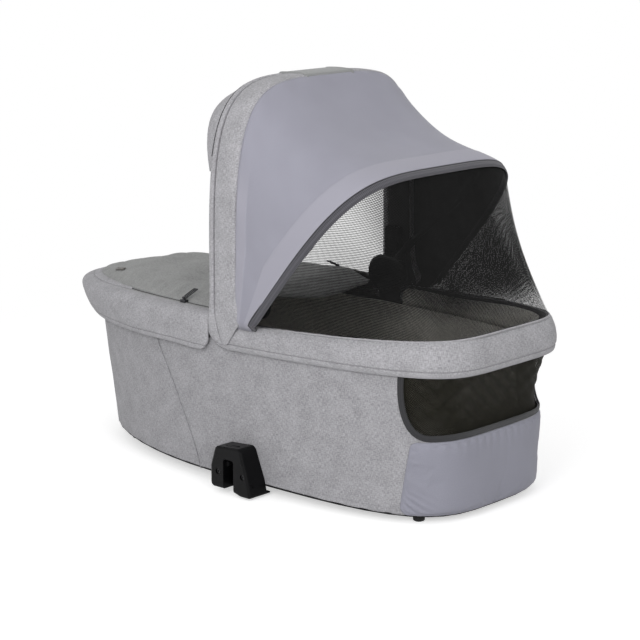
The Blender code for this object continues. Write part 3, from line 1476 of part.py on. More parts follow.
def hub_cap(name, side):
    """Moulded cover on the inside of the hub: a disc over the pin, and a wider shell inboard of it."""
    outer = PLATE_INNER - ARM_THICK - CLEARANCE * 2
    step = PLATE_INNER - CLEARANCE * 4 - REAR_SOCKET_RADIUS * 2
    disc = cylinder(
        "hub_cap_" + name,
        (PIVOT_X, side * outer, PIVOT_HEIGHT),
        (PIVOT_X, side * (step - SHELL_THICK * 0.5), PIVOT_HEIGHT),
        CAP_RADIUS * 0.95,
        BLACK_PLASTIC,
        segments=28,
    )
    shares = ((0.0, 1.0), (0.5, 1.0), (0.85, 0.95), (1.0, 0.86))
    loops = []
    for deep_share, size_share in shares:
        place = side * (step - SHELL_THICK * deep_share)
        loops.append([Vector((x, place, z)) for x, z in shell_outline(size_share)])
    join(disc, loft("hub_shell", loops))
    room = (PIVOT_X, side * (outer + OVERRUN), PIVOT_HEIGHT)
    floor = (PIVOT_X, side * (outer - PIN_HEAD_THICK - CLEARANCE), PIVOT_HEIGHT)
    return cut(disc, cylinder("head_room", room, floor, PIN_HEAD_RADIUS + CLEARANCE))


def shell_outline(size_share):
    """Rounded shape that reaches from the front bow's hub to the rear bow's."""
    centre_x = PIVOT_X + SHELL_REACH / 2
    large = CAP_RADIUS * size_share
    small = CAP_RADIUS * SHELL_SMALL_SHARE * size_share
    front = arc(centre_x - SHELL_REACH / 2 * size_share, PIVOT_HEIGHT, large, math.pi * 0.5, math.pi * 1.5, 9)
    rear_z = PIVOT_HEIGHT + (CAP_RADIUS - CAP_RADIUS * SHELL_SMALL_SHARE) * 0.4
    rear = arc(centre_x + SHELL_REACH / 2 * size_share, rear_z, small, -math.pi * 0.5, math.pi * 0.5, 8)
    return front + rear


# Adapters


def adapter_outline():
    """Front view of the housing: a steep foot-end side, and a head-end side that flares to the base."""
    left = ADAPTER_X - ADAPTER_BASE_WIDTH / 2
    right = ADAPTER_X + ADAPTER_BASE_WIDTH / 2
    low = ADAPTER_TOP - ADAPTER_HEIGHT
    corner = ADAPTER_HEIGHT * 0.1
    top_left = left + ADAPTER_BASE_WIDTH * 0.1
    top_right = top_left + ADAPTER_TOP_WIDTH
    points = [(right, low), (right - ADAPTER_BASE_WIDTH * 0.06, low + ADAPTER_HEIGHT * 0.35)]
    high = ADAPTER_TOP - corner
    foot = low + PILLAR_LIFT + corner
    points += arc(top_right - corner, high, corner * 1.4, math.radians(25), math.radians(75), 3)
    points += arc(top_left + corner, high, corner, math.pi / 2, math.radians(170), 3)
    points += [(left, low + ADAPTER_HEIGHT * 0.55), (left, foot)]
    points += arc(left + corner, foot, corner, math.radians(200), math.radians(270), 3)
    points += [(ADAPTER_X, low + PILLAR_LIFT), (ADAPTER_X + CHANNEL_OPEN_WIDTH, low)]
    return points


def adapter(name, side, cover, tray, plate_body):
    """Housing with its channel for the chassis post, latch, press button, springs and screws."""
    back = WALL_BASE_HALF - OVERRUN
    front = wall_half(ADAPTER_TOP / 2) + ADAPTER_DEPTH
    ends = (side * back, side * front)
    housing = plate("adapter_housing_" + name, adapter_outline(), *ends, BLACK_PLASTIC)
    soften = housing.modifiers.new("edges", "BEVEL")
    soften.width = ADAPTER_ROUND
    soften.segments = 2
    soften.limit_method = "ANGLE"
    soften.angle_limit = math.radians(50)
    cut(housing, wall_cutter())
    middle = ADAPTER_X - CHANNEL_OFFSET
    half = CHANNEL_OPEN_WIDTH / 2
    round_off = half * 0.4
    opening = [(middle - half, -OVERRUN), (middle + half, -OVERRUN)]
    opening += arc(middle + half - round_off, CHANNEL_TOP - round_off, round_off, 0.0, math.pi / 2, 3)
    opening += arc(middle - half + round_off, CHANNEL_TOP - round_off, round_off, math.pi / 2, math.pi, 3)
    cut(housing, plate("channel_cut", opening, side * (front - CHANNEL_OPEN_DEPTH), side * (front + OVERRUN)))
    adapter_press(name, side, housing, middle, front)
    adapter_latch(name, side, housing, middle - half, front)
    drilled = (cover, tray, plate_body, housing)
    for label, offset in (("_foot", -1), ("_head", 1)):
        adapter_screw(name + label, side, ADAPTER_X + offset * SCREW_SPREAD / 2, front, drilled)


def adapter_screw(label, side, x, front, drilled):
    """Sunk screw through housing, cloth, tray and side plate."""
    z = SCREW_RISE
    end = PLATE_INNER + CLEARANCE
    seat = front - SCREW_HEAD_THICK * 2

    def bar(name, low, high, radius, look=None, segments=14):
        return cylinder(name, (x, side * low, z), (x, side * high, z), radius, look, segments)

    head_end = seat + SCREW_HEAD_THICK
    screw = bar("adapter_screw_" + label, end, seat + SCREW_HEAD_THICK * 0.5, SCREW_RADIUS, STEEL, 10)
    join(screw, bar("screw_head", seat, head_end, SCREW_HEAD_RADIUS))
    hex_low = seat + SCREW_HEAD_THICK * 0.4
    cut(screw, bar("hex_socket", hex_low, head_end + OVERRUN, SCREW_HEAD_RADIUS * 0.5, None, 6))
    hole = bar("screw_hole", end - OVERRUN, front + OVERRUN, SCREW_RADIUS + CLEARANCE * 2, None, 10)
    sink = bar("screw_sink", seat - CLEARANCE, front + OVERRUN, SCREW_HEAD_RADIUS + CLEARANCE * 2)
    cut(drilled[-1], sink)
    for body in drilled:
        cut(body, hole)


def wall_cutter():
    """The tub's outside, a clearance larger, to shape what seats against it."""
    found = bpy.data.objects.get("wall_room")
    if found:
        return found
    rows = []
    for height in wall_levels(FOOT_PAD_HEIGHT - OVERRUN, WALL_TOP):
        rows.append([wall(i / ROUND_STEPS, height, CLEARANCE * 2) for i in range(ROUND_STEPS)])
    return stack("wall_room", rows)


def adapter_press(name, side, housing, x, front):
    """Press button in the housing's top, above the channel, on its spring."""
    y = side * (front - CHANNEL_OPEN_DEPTH / 2)
    low = ADAPTER_TOP + PRESS_PROUD - PRESS_HEIGHT
    axis = bpy.data.objects.new("press_axis_" + name, None)
    parts.objects.link(axis)
    axis.location = (x, y, low)
    shares = ((0.0, 1.0), (0.75, 1.0), (1.0, 0.88))
    loops = []
    for up_share, size_share in shares:
        outline = stadium(PRESS_LENGTH * size_share, PRESS_WIDTH * size_share)
        loops.append([Vector((a, b, PRESS_HEIGHT * up_share)) for a, b in outline])
    button = loft("adapter_button_" + name, loops, MATT_PLASTIC)
    button.parent = axis
    floor = low - PRESS_TRAVEL - SPRING_TURNS * SPRING_WIRE_RADIUS * 2 - CLEARANCE * 4
    larger = stadium(PRESS_LENGTH + CLEARANCE * 2, PRESS_WIDTH + CLEARANCE * 2)
    loops = [[Vector((x + a, y + b, z)) for a, b in larger] for z in (floor, ADAPTER_TOP + OVERRUN)]
    cut(housing, loft("press_pocket", loops))
    start = Vector((x, y, floor + CLEARANCE + SPRING_WIRE_RADIUS))
    end = Vector((x, y, low - CLEARANCE - SPRING_WIRE_RADIUS))
    spring("adapter_spring_" + name, start, end, PRESS_WIDTH * 0.3)


def adapter_latch(name, side, housing, wall_x, front):
    """Slanted latch in the channel's side wall, drawn back when the button is pressed."""
    y = side * (front - CHANNEL_OPEN_DEPTH / 2)
    axis = bpy.data.objects.new("latch_axis_" + name, None)
    parts.objects.link(axis)
    axis.location = (wall_x, y, LATCH_RISE)
    half = LATCH_WIDTH / 2
    back = LATCH_REACH - LATCH_LENGTH
    loops = []
    for z, slant in ((-LATCH_HEIGHT / 2, LATCH_REACH * 0.8), (0.0, 0.0), (LATCH_HEIGHT / 2, 0.0)):
        tip = LATCH_REACH - slant
        corners = ((tip, -half), (back, -half), (back, half), (tip, half))
        loops.append([Vector((a, b, z)) for a, b in corners])
    latch = loft("adapter_latch_" + name, loops, MATT_PLASTIC)
    latch.parent = axis
    room_half = half + CLEARANCE
    room_tall = LATCH_HEIGHT / 2 + CLEARANCE
    low = (wall_x + back - LATCH_TRAVEL - CLEARANCE, y - room_half, LATCH_RISE - room_tall)
    high = (wall_x + OVERRUN * 0.5, y + room_half, LATCH_RISE + room_tall)
    cut(housing, box("latch_room", low, high))


def stadium(length, width):
    """Outline with round ends, in X and Y."""
    r = width / 2
    reach = length / 2 - r
    quarter = math.pi / 2
    points = []
    for middle, start in ((reach, -quarter), (-reach, quarter)):
        for a in steps_between(start, start + math.pi, 6):
            points.append((middle + r * math.cos(a), r * math.sin(a)))
    return points


def hang_on_axis(name, place, members):
    """Puts the members under an empty on their joint's axis, leaving them where they are."""
    axis = bpy.data.objects.new(name, None)
    parts.objects.link(axis)
    axis.location = place
    bpy.context.view_layer.update()
    for member in members:
        obj = bpy.data.objects[member]
        obj.parent = axis
        obj.matrix_parent_inverse = axis.matrix_world.inverted()


def build():
    tray = base_tray()
    rubber_feet(tray)
    tube("rim_frame", rim_tube_points(), RIM_TUBE_RADIUS, ALUMINIUM, cyclic=True, resolution=1)
    cover = tub_cover()
    head_window(cover)
    tub_lining()
    base_board()
    mattress()
    rim_band()
    apron_skirt()
    zip_track()
    apron_top()
    hood_band()
    front_bow()
    grip()
    visor()
    hood_canopy()
    hood_tape()
    hood_mesh()
    rear_bow()
    for name, side in SIDES.items():
        plate_body = side_plate(name, side)
        front_arm(name, side)
        rear_arm(name, side)
        hub_pin(name, side)
        hub_cap(name, side)
        hub_button(name, side)
        adapter(name, side, cover, tray, plate_body)
        zip_pull_set(name, side)
    pivot = (PIVOT_X, 0.0, PIVOT_HEIGHT)
    front = ["front_bow", "hood_band", "grip", "visor", "front_arm_near", "front_arm_far"]
    hang_on_axis("hood_axis", pivot, front)
    hang_on_axis("rear_bow_axis", pivot, ["rear_bow", "rear_arm_near", "rear_arm_far"])


build()
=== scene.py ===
import json
import math

import bmesh
import bpy
import numpy as np
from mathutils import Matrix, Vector

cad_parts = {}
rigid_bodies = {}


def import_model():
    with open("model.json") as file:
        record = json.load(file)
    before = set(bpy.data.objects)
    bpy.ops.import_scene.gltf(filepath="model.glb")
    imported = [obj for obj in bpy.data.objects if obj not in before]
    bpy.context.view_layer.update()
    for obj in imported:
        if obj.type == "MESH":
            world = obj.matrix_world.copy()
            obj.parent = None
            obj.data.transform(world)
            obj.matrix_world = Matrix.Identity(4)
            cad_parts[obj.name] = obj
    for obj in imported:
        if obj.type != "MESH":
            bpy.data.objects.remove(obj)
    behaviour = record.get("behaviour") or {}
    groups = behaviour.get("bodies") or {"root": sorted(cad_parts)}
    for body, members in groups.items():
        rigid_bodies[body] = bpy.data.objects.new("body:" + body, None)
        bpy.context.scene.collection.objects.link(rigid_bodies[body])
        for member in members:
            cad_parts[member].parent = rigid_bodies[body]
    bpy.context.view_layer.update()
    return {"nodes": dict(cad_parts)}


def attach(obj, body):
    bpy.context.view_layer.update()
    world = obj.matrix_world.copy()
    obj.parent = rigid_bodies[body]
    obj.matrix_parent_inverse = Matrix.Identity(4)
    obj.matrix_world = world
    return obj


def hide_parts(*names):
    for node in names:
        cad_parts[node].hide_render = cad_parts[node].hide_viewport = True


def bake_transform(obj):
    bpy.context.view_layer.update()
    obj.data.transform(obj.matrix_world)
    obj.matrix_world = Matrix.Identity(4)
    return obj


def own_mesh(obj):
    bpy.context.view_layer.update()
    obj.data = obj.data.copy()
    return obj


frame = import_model()

# Sizes shared with the part
TUB_MIDDLE_X = 0.0037
RIM_PROUD = 0.0080
WALL_TOP_HEAD, WALL_TOP_FOOT, WALL_TOP_HALF = 0.4237, 0.3920, 0.2070
WALL_BASE_HEAD, WALL_BASE_FOOT, WALL_BASE_HALF = 0.4045, 0.3590, 0.1895
TOP_SQUARENESS, BASE_SQUARENESS, FOOT_SQUARENESS = 5.5, 3.7, 3.0
HEAD_TAPER, FOOT_TAPER, TAPER_POWER = 0.21, 0.24, 1.5
HEAD_HOLLOW = 0.0075
FOOT_PAD_HEIGHT, BASE_HEAD_DROP, BASE_FOOT_RISE = 0.0155, 0.0075, 0.0110
TRAY_LIP = 0.0040
BOARD_TOP = 0.0343
WALL_TOP = 0.2375
RIM_LOW, RIM_TOP, RIM_HEAD_RISE, RIM_CREST = 0.2242, 0.2655, 0.0120, 0.0105
RIM_TUBE_TOP = 0.2521
LINING_INSET, LINING_THICK = 0.0285, 0.0030
CLEAR = 0.0003
PIVOT_X, PIVOT_Z = 0.0437, 0.2885
HOOD_HALF, HOOD_TOP, HOOD_POWER = 0.2142, 0.6302, 4.3
BAND_WIDTH, BAND_THICK = 0.0580, 0.0162
TAPE_TOP_X, TAPE_TOP_Z, TAPE_FOOT_X, TAPE_FOOT_Z = 0.2997, 0.5060, 0.1097, 0.2725
TAPE_HALF, TAPE_RADIUS = 0.2240, 0.0030
BOW_ANGLE, BOW_REACH, BOW_HALF = math.radians(44.0), 0.3000, 0.2080
VISOR_REACH, VISOR_DROP, VISOR_END_Z = 0.0320, 0.0140, 0.4940
GRIP_LENGTH = 0.1120
SKIRT_PROUD, SKIRT_BOTTOM, SKIRT_SHOULDER = 0.0075, 0.2160, 0.2655
SKIRT_FLARE, SKIRT_END_X, SKIRT_CORNER, SKIRT_DROOP = 0.0410, 0.0122, 0.0150, 0.0100
EDGE_INSET, EDGE_Z = 0.0262, 0.2760
APRON_CROWN, APRON_MOUTH_X, APRON_SIDE_X = 0.0235, 0.1037, -0.0043
MOUTH_HALF, MOUTH_POWER = 0.1500, 2.2
ZIP_WIDTH = 0.0050
WINDOW_BOTTOM, WINDOW_CORNER, WINDOW_POWER, WINDOW_SIDE_X = 0.1300, 0.0600, 2.4, 0.3487
BINDING_WIDTH = 0.0095
FLAP_SIDE_X, FLAP_RISE, FLAP_THICK = 0.3677, 0.0025, 0.0050
MATTRESS_HEIGHT, MATTRESS_CROWN, CHANNEL_PITCH = 0.0420, 0.0080, 0.0850
BOW_RATIO = 0.61

# Sizes and names of the looks alone
WALL_THICK, SKIRT_THICK, APRON_THICK, VISOR_THICK = 0.0024, 0.0030, 0.0032, 0.0032
CANOPY_THICK, NET_THICK, FLAP_SKIN, TAG_THICK = 0.0018, 0.0011, 0.0012, 0.0018
HEM_HEIGHT = 0.0075
RIM_STITCH_Z, SKIRT_STITCH_Z = RIM_LOW + 0.0095, SKIRT_BOTTOM + 0.0085
WINDOW_NARROWER, NET_LAP = 0.0050, 0.002
LEG_TIP_Z = 0.2331
FRONT_FACING, REAR_FACING = 0.0305, 0.0430
STILL_ANGLE, STILL_Z, STILL_REACH = math.radians(93.0), 0.252, 0.043
PLAN_STEPS, WALL_STEPS, WAVES, CLOTH_FRAMES = 1440, 620, 7, 20
MELANGE, BINDING = "melange_fabric", "charcoal_binding"

pi, tau = math.pi, math.tau
HUB = np.array([PIVOT_X, 0.0, PIVOT_Z])
FRONT_X, REAR_X = PIVOT_X - BAND_WIDTH / 2, PIVOT_X + BAND_WIDTH / 2
SCOOP = BAND_WIDTH / 2 + CLEAR * 5


def smooth(t):
    t = np.clip(t, 0.0, 1.0)
    return t * t * (3 - 2 * t)


def mix(a, b, t):
    return a + (b - a) * t


def bell(x, width):
    return np.exp(-((x / width) ** 2))


def round_off(t):
    """A quarter round: how far an edge has dropped, 1 at its end and 0 from t = 1."""
    return 1 - np.sqrt(1 - (1 - np.clip(t, 0, 1)) ** 2)


def unit(v):
    return v / np.maximum(np.linalg.norm(v, axis=-1, keepdims=True), 1e-12)


def spread(*values):
    return np.broadcast_arrays(*(np.asarray(value, float) for value in values))


def walk(path):
    """The length walked along a path at each of its points."""
    return np.concatenate([[0.0], np.cumsum(np.linalg.norm(np.diff(path, axis=0), axis=1))])


def at_lengths(values, walked, lengths_along):
    """Values on a path, read at lengths along it."""
    return np.stack([np.interp(lengths_along, walked, column) for column in values.T], -1)


def swell(points, pitch, seed, height):
    """Smooth noise of about this height, from waves in seeded directions."""
    rng = np.random.default_rng(seed)
    total = np.zeros(points.shape[:-1])
    for _ in range(WAVES):
        way = rng.normal(size=3)
        way *= tau / (np.linalg.norm(way) * pitch * rng.uniform(0.7, 1.5))
        total += np.sin(points @ way + rng.uniform(0, tau))
    return total / math.sqrt(WAVES) * height


def catmull(points, per):
    """A smooth curve through a row of points."""
    points = np.asarray(points, float)
    padded = np.concatenate([[2 * points[0] - points[1]], points, [2 * points[-1] - points[-2]]])
    out = []
    for i in range(len(points) - 1):
        p0, p1, p2, p3 = padded[i : i + 4]
        for t in np.arange(per) / per:
            a = 2 * p1 + (p2 - p0) * t + (2 * p0 - 5 * p1 + 4 * p2 - p3) * t * t
            out.append((a + (3 * p1 - p0 - 3 * p2 + p3) * t**3) / 2)
    return np.array([*out, points[-1]])


# Plan curves: a share of the way round, from the head's middle by +Y


class Plan:
    """The tub's outline at one height, a superellipse that narrows to its ends."""

    def __init__(self, head, foot, half, power, taper):
        a = np.arange(PLAN_STEPS) / PLAN_STEPS * tau
        c, s = np.cos(a), np.sin(a)
        at_head = c >= 0
        long_half = np.where(at_head, head, foot)
        power = np.where(at_head, power, FOOT_SQUARENESS)
        taper = np.where(at_head, taper, FOOT_TAPER)
        x = np.sign(c) * np.abs(c) ** (2 / power) * long_half
        y = np.sign(s) * np.abs(s) ** (2 / power) * half
        y = y * (1 - taper * (np.abs(x) / long_half) ** TAPER_POWER)
        self.points = np.stack([x + TUB_MIDDLE_X, y], 1)
        step = np.roll(self.points, -1, 0) - np.roll(self.points, 1, 0)
        self.out = unit(np.stack([step[:, 1], -step[:, 0]], 1))
        turn = np.arccos(np.clip((self.out * np.roll(self.out, -1, 0)).sum(1), -1, 1))
        length = np.linalg.norm(np.roll(self.points, -1, 0) - self.points, axis=1)
        self.walked = np.concatenate([[0.0], np.cumsum(length + 0.12 * turn)])
        self.length = np.concatenate([[0.0], np.cumsum(length)])
        self.girth = self.length[-1]

    def at(self, share, out=0.0):
        goal = np.mod(np.asarray(share, float), 1.0) * self.walked[-1]
        k = np.interp(goal, self.walked, np.arange(PLAN_STEPS + 1))
        i = np.floor(k).astype(int) % PLAN_STEPS
        j = (i + 1) % PLAN_STEPS
        f = (k - np.floor(k))[..., None]
        place, side = (a[i] * (1 - f) + a[j] * f for a in (self.points, self.out))
        return place + side * np.asarray(out, float)[..., None]

    def share_of(self, along):
        """The share at a signed length along the outline from the head's middle."""
        return np.interp(np.mod(along, self.girth), self.length, self.walked) / self.walked[-1]

    def along_of(self, share):
        return np.interp(np.mod(share, 1.0) * self.walked[-1], self.walked, self.length)


top_plan = Plan(WALL_TOP_HEAD, WALL_TOP_FOOT, WALL_TOP_HALF, TOP_SQUARENESS, HEAD_TAPER)
base_plan = Plan(WALL_BASE_HEAD, WALL_BASE_FOOT, WALL_BASE_HALF, BASE_SQUARENESS, 0.0)


def share_where(x, place, *at):
    """The share, on the far side, at which a curve has this X."""
    shares = np.linspace(0.0, 0.5, 2001)
    return float(np.interp(-x, -place(shares, *at)[:, 0], shares))


def wall(share, z, out=0.0):
    """A point on the outside of the tub's wall, moved outwards."""
    share, z, out = spread(share, z, out)
    up = (z - FOOT_PAD_HEIGHT) / (WALL_TOP - FOOT_PAD_HEIGHT)
    p = mix(base_plan.at(share, out), top_plan.at(share, out), up[..., None])
    hollow = HEAD_HOLLOW * 4 * up * (1 - up) * (np.maximum(p[..., 0], 0) / WALL_TOP_HEAD) ** 4
    return np.stack([p[..., 0] - hollow, p[..., 1], z], -1)


def base_z(share):
    x = base_plan.at(share)[..., 0]
    head = FOOT_PAD_HEIGHT - BASE_HEAD_DROP * (x / WALL_BASE_HEAD) ** 2
    foot = FOOT_PAD_HEIGHT + BASE_FOOT_RISE * (x / WALL_BASE_FOOT) ** 2
    return np.where(x > 0, head, foot)


def rim_point(share, out=0.0, z=0.0):
    share, z, out = spread(share, z, out)
    p = top_plan.at(share, RIM_PROUD + out)
    above = np.clip((z - RIM_TUBE_TOP + 0.0006) / (RIM_TOP - RIM_TUBE_TOP + 0.0006), 0, 1)
    rise = RIM_HEAD_RISE * above * (np.maximum(p[..., 0], 0) / WALL_TOP_HEAD) ** 2
    return np.stack([p[..., 0], p[..., 1], z + rise], -1)


def skirt_point(share, out, z):
    share, z, out = spread(share, z, out)
    p = top_plan.at(share, SKIRT_PROUD + out)
    up = (np.minimum(z, SKIRT_SHOULDER) - SKIRT_BOTTOM) / (SKIRT_SHOULDER - SKIRT_BOTTOM)
    foot = p[..., 0] < 0
    droop = np.where(foot, SKIRT_DROOP * mix(0.5, 1.0, up) * (p[..., 0] / WALL_TOP_FOOT) ** 2, 0.0)
    lean = 1 + SKIRT_FLARE / WALL_TOP_FOOT * (1 - np.clip(1 - up, 0, 1) ** 1.6)
    return np.stack([np.where(foot, p[..., 0] * lean, p[..., 0]), p[..., 1], z - droop], -1)


# Mesh makers


def adjust(thing, **values):
    for key, value in values.items():
        setattr(thing, key, value)
    return thing


def link(name, data):
    obj = bpy.data.objects.new(name, data)
    bpy.context.scene.collection.objects.link(obj)
    return obj


def gather(items, key):
    """The vectors that a list of Blender's items holds under a name."""
    values = np.empty(len(items) * 3)
    items.foreach_get(key, values)
    return values.reshape(-1, 3)


def new_object(name, points, faces, corners, looks, marks=None):
    """A smooth mesh. Marks are named values on its points; seam, the distance from a seam, is 1 by itself."""
    mesh = bpy.data.meshes.new(name)
    mesh.from_pydata(points.reshape(-1, 3).tolist(), [], faces)
    mesh.uv_layers.new(name="UVMap").data.foreach_set("uv", np.ravel(corners))
    for look in looks:
        mesh.materials.append(look)
    for key, value in {"seam": 1.0, **(marks or {})}.items():
        values = np.broadcast_to(np.asarray(value, np.float32), points.shape[:-1])
        mesh.attributes.new(key, "FLOAT", "POINT").data.foreach_set("value", values.ravel())
    mesh.shade_smooth()
    mesh.update()
    return link(name, mesh)


def lengths(points, axis):
    step = np.linalg.norm(np.diff(points, axis=axis), axis=-1).mean(1 - axis)
    return np.concatenate([[0.0], np.cumsum(step)])


def quads(shown, rows, cols, u, v):
    """The faces of a sheet's shown cells, and the places of their corners on its map."""
    i, j = np.nonzero(shown)
    h, k = (i + 1) % rows, (j + 1) % cols
    faces = np.stack([i * cols + j, i * cols + k, h * cols + k, h * cols + j], 1).tolist()
    corners = [(u[a, b], v[a, b]) for a, b in ((i, j), (i, j + 1), (i + 1, j + 1), (i + 1, j))]
    return faces, np.transpose(corners, (2, 0, 1)).reshape(-1, 2)


def rework(obj, change):
    bm = bmesh.new()
    bm.from_mesh(obj.data)
    change(bm)
    bm.to_mesh(obj.data)
    bm.free()


def drop_loose(bm):
    bmesh.ops.delete(bm, geom=[v for v in bm.verts if not v.link_faces], context="VERTS")


def turn_outwards(bm):
    bmesh.ops.recalc_face_normals(bm, faces=bm.faces)


def grid(name, p, looks, closed=False, shown=None, marks=None, u=None, v=None):
    """A sheet over rows and columns of points; its map is in metres, u along a row and v along a column.
    shown tells which cells are made."""
    rows, cols = p.shape[:2]
    wrapped = np.concatenate([p, p[:, :1]], 1) if closed else p
    if shown is None:
        shown = np.ones((rows - 1, wrapped.shape[1] - 1), bool)
    u = lengths(wrapped, 1)[None] if u is None else u
    v = lengths(wrapped, 0)[:, None] if v is None else v
    u, v = (np.broadcast_to(a, wrapped.shape[:2]) for a in (u, v))
    obj = new_object(name, p, *quads(shown, rows, cols, u, v), looks, marks)
    if not shown.all():
        rework(obj, drop_loose)
    return obj


def loft(name, loops, looks, marks=None, loop_looks=None):
    """A closed skin over like loops, capped at both ends."""
    n, m = loops.shape[:2]
    wrapped = np.concatenate([loops, loops[:, :1]], 1)
    u, v = spread(lengths(wrapped, 0)[:, None], lengths(wrapped, 1)[None])
    faces, corners = quads(np.ones((n - 1, m), bool), n, m, u, v)
    ring = np.arange(m)
    faces += [ring[::-1].tolist(), (ring + (n - 1) * m).tolist()]
    corners = np.concatenate([corners, *(np.stack([u[i, :m], v[i, :m]], 1) for i in (0, -1))])
    obj = new_object(name, loops, faces, corners, looks, marks)
    if loop_looks is not None:
        chosen = [*np.tile(loop_looks, n - 1).astype(int).tolist(), 0, 0]
        obj.data.polygons.foreach_set("material_index", chosen)
    rework(obj, turn_outwards)
    return obj


def face_out(obj, centre):
    """Turns a sheet's faces away from a point."""
    normal, middle = (gather(obj.data.polygons, key) for key in ("normal", "center"))
    if (normal * (middle - centre)).sum() < 0:
        obj.data.flip_normals()


def thicken(obj, thick, side=-1.0):
    """Gives a sheet its thickness, side -1 inwards; a second look goes on the inner face."""
    step = obj.modifiers.new("thickness", "SOLIDIFY")
    adjust(step, thickness=thick, offset=side, use_even_offset=False)
    adjust(step, material_offset=len(obj.data.materials) - 1, material_offset_rim=0)


def carve(obj, *tools):
    """Cuts the tools out of a piece and turns its modifiers into the mesh itself."""
    for tool in tools:
        adjust(obj.modifiers.new("cut", "BOOLEAN"), operation="DIFFERENCE", solver="EXACT", object=tool)
    bpy.context.view_layer.update()
    mesh = bpy.data.meshes.new_from_object(obj.evaluated_get(bpy.context.evaluated_depsgraph_get()))
    obj.modifiers.clear()
    obj.data = mesh
    for tool in tools:
        bpy.data.objects.remove(tool, do_unlink=True)


def hub_cutter():
    """A round bar through both hubs, for the feet of the hood's band."""
    bpy.ops.mesh.primitive_cylinder_add(vertices=48, radius=SCOOP, depth=1.0)
    return adjust(bpy.context.object, rotation_euler=(pi / 2, 0, 0), location=HUB)


def box_cutter(low, high):
    bpy.ops.mesh.primitive_cube_add(size=1.0)
    return adjust(bpy.context.object, location=(low + high) / 2, scale=high - low)


def fill_cloth(obj, held, slack, cap):
    """Lets a sheet fill and wrinkle as cloth; it stays where held is true and no point moves far."""
    before = gather(obj.data.vertices, "co")
    group = obj.vertex_groups.new(name="held")
    group.add(np.nonzero(np.ravel(held))[0].tolist(), 1.0, "REPLACE")
    step = obj.modifiers.new("cloth", "CLOTH")
    adjust(step.settings, quality=5, mass=0.01, air_damping=1.0, vertex_group_mass="held")
    adjust(step.settings, bending_stiffness=0.05, tension_stiffness=12.0, compression_stiffness=12.0)
    adjust(step.settings, shrink_min=-slack, use_pressure=True, uniform_pressure_force=4.0)
    step.settings.effector_weights.gravity = 0.0
    step.collision_settings.use_collision = False
    step.point_cache.frame_end = CLOTH_FRAMES
    for moment in range(1, CLOTH_FRAMES + 1):
        bpy.context.scene.frame_set(moment)
    shape = obj.evaluated_get(bpy.context.evaluated_depsgraph_get()).data
    move = gather(shape.vertices, "co") - before
    obj.modifiers.remove(step)
    obj.vertex_groups.remove(group)
    bpy.context.scene.frame_set(1)
    far = np.linalg.norm(move, axis=1)[:, None]
    move *= cap * np.tanh(far / cap) / np.maximum(far, 1e-9)
    obj.data.vertices.foreach_set("co", (before + move).ravel())
    obj.data.update()


def tube(name, path, radius, look, sides=8):
    """A round cord along a path, without twist."""
    ahead = unit(np.gradient(path, axis=0))
    side = np.cross(ahead[0], [0.0, 0.0, 1.0])
    if np.linalg.norm(side) < 0.2:
        side = np.cross(ahead[0], [0.0, 1.0, 0.0])
    left = []
    for a in ahead:
        side = unit(side - a * (side @ a))
        left.append(side)
    turn = np.arange(sides)[:, None] / sides * tau
    ring = np.array(left)[:, None] * np.cos(turn) + np.cross(ahead, left)[:, None] * np.sin(turn)
    return loft(name, path[:, None] + ring * radius, [look])


def stitches(name, path, out, look, pitch=0.0046, length=0.0031, radius=0.00035, lift=0.0002):
    """Sewn stitches, each a short thread that dips at both ends, along a path on a surface."""
    out = unit(out)
    walked = walk(path)
    count = int(walked[-1] / pitch)
    at = np.arange(count)[:, None] * pitch + np.array([0.0, 0.22, 0.78, 1.0]) * length
    size = radius * np.array([0.35, 1.0, 1.0, 0.35])[:, None, None]
    rise = lift + radius * np.array([-1.0, 0.4, 0.4, -1.0])[:, None] * 0.5
    n = at_lengths(out, walked, at)
    ahead = at_lengths(path, walked, at + 0.0005) - at_lengths(path, walked, at - 0.0005)
    side = unit(np.cross(ahead, n))[:, :, None]
    around = np.array([(1, 0), (0, 0.8), (-1, 0), (0, -0.8)])
    ring = side * around[:, :1] + n[:, :, None] * around[:, 1:]
    points = (at_lengths(path, walked, at) + n * rise)[:, :, None] + ring * size
    one = [(s + c, s + (c + 1) % 4, s + 4 + (c + 1) % 4, s + 4 + c) for s in (0, 4, 8) for c in range(4)]
    one += [(3, 2, 1, 0), (12, 13, 14, 15)]
    faces = [[first + k for k in face] for first in range(0, count * 16, 16) for face in one]
    obj = new_object(name, points, faces, np.zeros((len(faces) * 4, 2)), [look])
    rework(obj, turn_outwards)
    return obj


# Materials


def scaled(colour, share):
    return tuple(c * share for c in colour)


